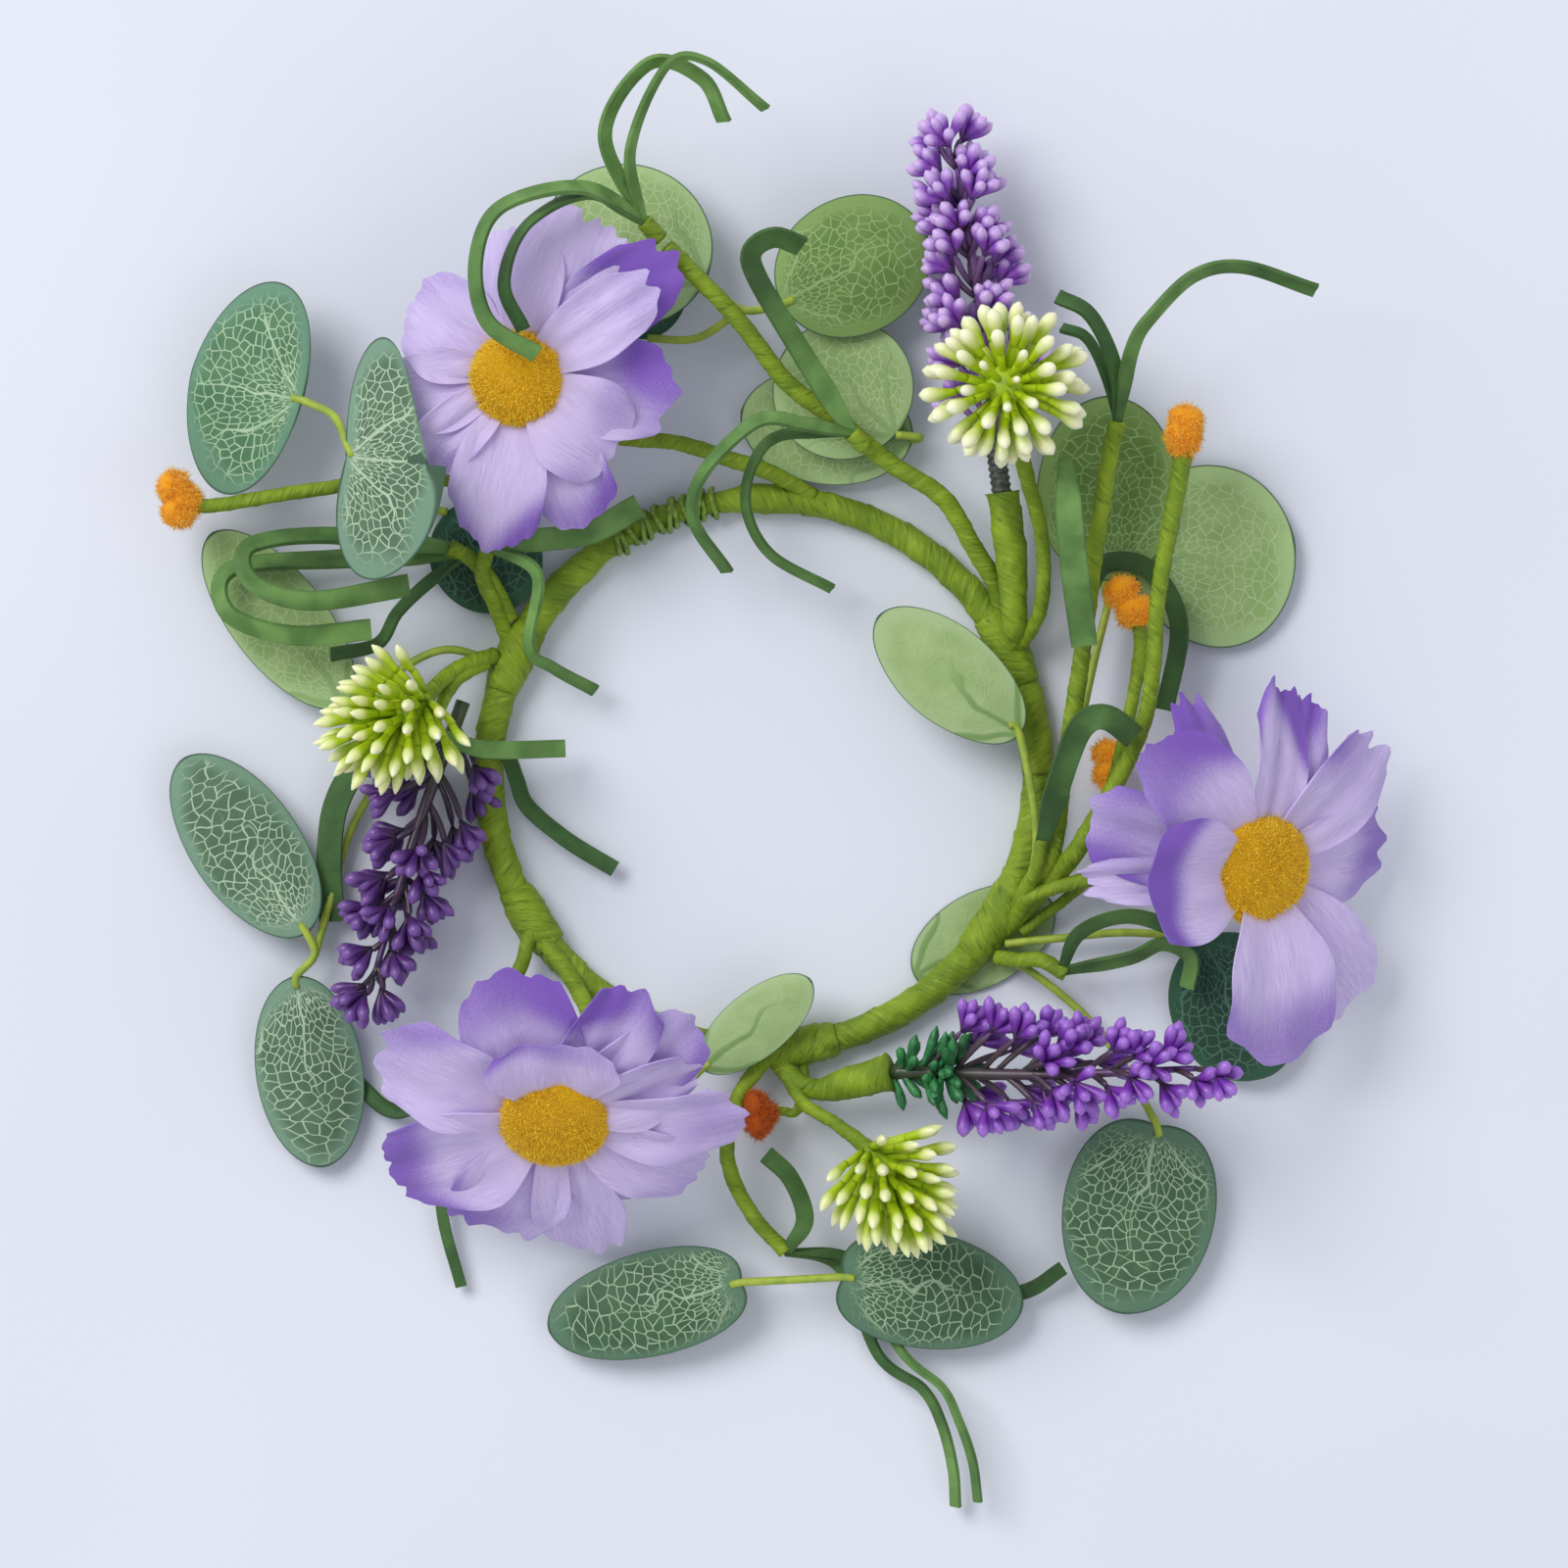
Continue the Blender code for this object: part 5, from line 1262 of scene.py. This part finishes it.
# Each orange bud: the stem's control points, the bud's tip, its size, the way (X, Y) its two
# lobes are set apart, and its paint.
ORANGE_BUDS = {
    "orange_bud_left": (
        [(-42, 49.5, 7, 1.1), (-60.5, 53.5, 8, 1.2), (-81, 51.5, 11, 1.3), (-99.5, 48.5, 14, 1.3)],
        (-106.3, 49.5, 14.5), 4.9, (0, 1), "orange",
    ),
    "orange_bud_upper_right": (
        [(45.5, -27, 3.5, 1.5), (53, -18, 10, 1.5), (58.5, -11, 15, 1.6), (69, 10, 18.5, 1.5),
         (71.5, 33, 20.5, 1.5), (75.5, 55.5, 21, 1.7)],
        (76, 62, 21.5), 5.3, (0.1, 0.35), "orange",
    ),
    "orange_bud_right": (
        [(45.5, -28, 3.5, 1.1), (51.5, -21, 7.5, 1.1), (57, -15, 11, 1.1), (62.5, -4, 12.6, 1.1),
         (66, 9, 13, 1.2), (68.5, 23, 13, 1.3)],
        (66.5, 31, 13.5), 4.7, (-0.75, 0.7), "orange",
    ),
    "orange_bud_inner": (
        [(47, -29, 3.5, 1), (56, -22, 5, 1), (64.5, -14, 6, 1), (64.5, -6, 6, 1.1)],
        (62.5, 1.5, 6.5), 3.8, (0, 1), "orange",
    ),
    # This bud's flock is painted darker for the shade it lies in.
    "orange_bud_bottom": (
        [(7, -51, 3, 0.9), (7.5, -57, 3.8, 0.9), (6, -61.5, 4.5, 0.9), (3.5, -61.5, 5, 0.9)],
        (-1, -62, 7), 4, (0, 1), "orange_shaded",
    ),
}


def build_orange_buds():
    for number, (node, (path, end, size, apart, paint)) in enumerate(ORANGE_BUDS.items()):
        tip = np.array(end)
        way = unit(tip - np.array(path[-1][:3]))
        apart = np.array([*apart, 0])
        skin = Skin()
        lobes = (
            (tip - way * 0.35 * size, 0.6),
            (tip + apart * 0.45 * size + way * 0.1 * size, 0.62),
            (tip - apart * 0.42 * size - way * 0.05 * size, 0.6),
        )
        for lobe, (centre, share) in enumerate(lobes):
            k = np.arange(FLOCK_FIBRES)
            rise = 1 - 2 * (k + 0.5) / FLOCK_FIBRES
            flat = np.sqrt(1 - rise**2)
            turn = k * GOLDEN_TURN
            out = np.stack([flat * np.cos(turn), flat * np.sin(turn), rise], -1)
            radius = size * share * (1 + 0.12 * ripple(number, *(out.T * 3)))
            roots = centre + out * (radius * 0.88)[:, None]
            fibres(skin, roots, out, 1.35, 0.12, 510 + number * 3 + lobe, 0.65)
            half = way * size * share * 0.95
            radii = (size * share * 0.5, size * share * 0.95)
            club(skin, centre - half, centre + half, radii, 0, 12, 9, 0.3)
        skin.piece(f"{node}_flock", paint, "ring", node)
        skin = Skin()
        end = (*(tip - way * size * 0.4), path[-1][3])
        taped(skin, [*path, end], seed=120 + number, tint=0.1 * number)
        skin.piece(f"{node}_stem", "tape", "ring")


TOP_SPRAY = (
    (44, 26, 3, 1.7), (42.3, 34, 6, 1.7), (38.5, 40.5, 8.5, 1.7), (32.5, 50, 11, 1.7),
    (22.5, 56.5, 12.5, 1.7), (12, 65, 15, 1.7), (4, 71, 17, 1.6), (-5, 82.5, 20, 1.6),
    (-17.5, 95, 23, 1.6),
)


def build_top_spray():
    skin = Skin()
    taped(skin, TOP_SPRAY, seed=140)
    skin.piece("top_spray_tape", "tape", "ring", "top_spray_stem")


# ---------------------------------------------------------------- table, light and camera
def build_stage():
    bpy.ops.mesh.primitive_plane_add(size=6, location=(0, 0, -0.0004))
    floor = bpy.context.object
    floor.name = "table_top"
    p = Paint("table_paper", roughness=0.8)
    p.colour(p.mix(p.step(p.noise(p.place, 0.006), 0.3, 0.7), "d8dce8", "dce0eb"))
    floor.data.materials.append(p.material)


def area_light(name, place, target, size, power, tint):
    data = bpy.data.lights.new(name, "AREA")
    data.shape = "DISK"
    data.size = size
    data.energy = power
    data.color = tint
    lamp = bpy.data.objects.new(name, data)
    lamp.location = place
    lamp.rotation_euler = (Vector(target) - Vector(place)).to_track_quat("-Z", "Y").to_euler()
    bpy.context.scene.collection.objects.link(lamp)


def build_light():
    world = bpy.data.worlds.new("studio")
    world.use_nodes = True
    background = world.node_tree.nodes["Background"]
    background.inputs[0].default_value = (0.93, 0.95, 1, 1)
    background.inputs[1].default_value = 0.6
    bpy.context.scene.world = world
    area_light("window", (-1.3, 1.15, 1.95), (0, 0, 0), 1.6, 45, (1, 0.985, 0.965))
    area_light("fill", (0.9, -0.6, 1.2), (0, 0, 0), 1.2, 2.5, (0.95, 0.97, 1))
    bpy.context.scene.view_settings.view_transform = "Standard"


def build_camera():
    """Straight above, framed as wide as the crown needs, a little right of its centre."""
    data = bpy.data.cameras.new("camera")
    data.lens = 300
    data.sensor_width = 36
    frame_width = 0.2858
    camera = bpy.data.objects.new("camera", data)
    height = frame_width / 2 / math.tan(math.atan(data.sensor_width / 2 / data.lens))
    camera.location = (HOOP_CENTRE[0] + 0.00375, HOOP_CENTRE[1] - 0.00196, height)
    bpy.context.scene.collection.objects.link(camera)
    bpy.context.scene.camera = camera


build_hoop()
build_lap_wire()
build_collars()
build_grass()
build_leaves()
build_daisies()
build_lavender()
build_bud_balls()
build_orange_buds()
build_top_spray()
build_stage()
build_light()
build_camera()
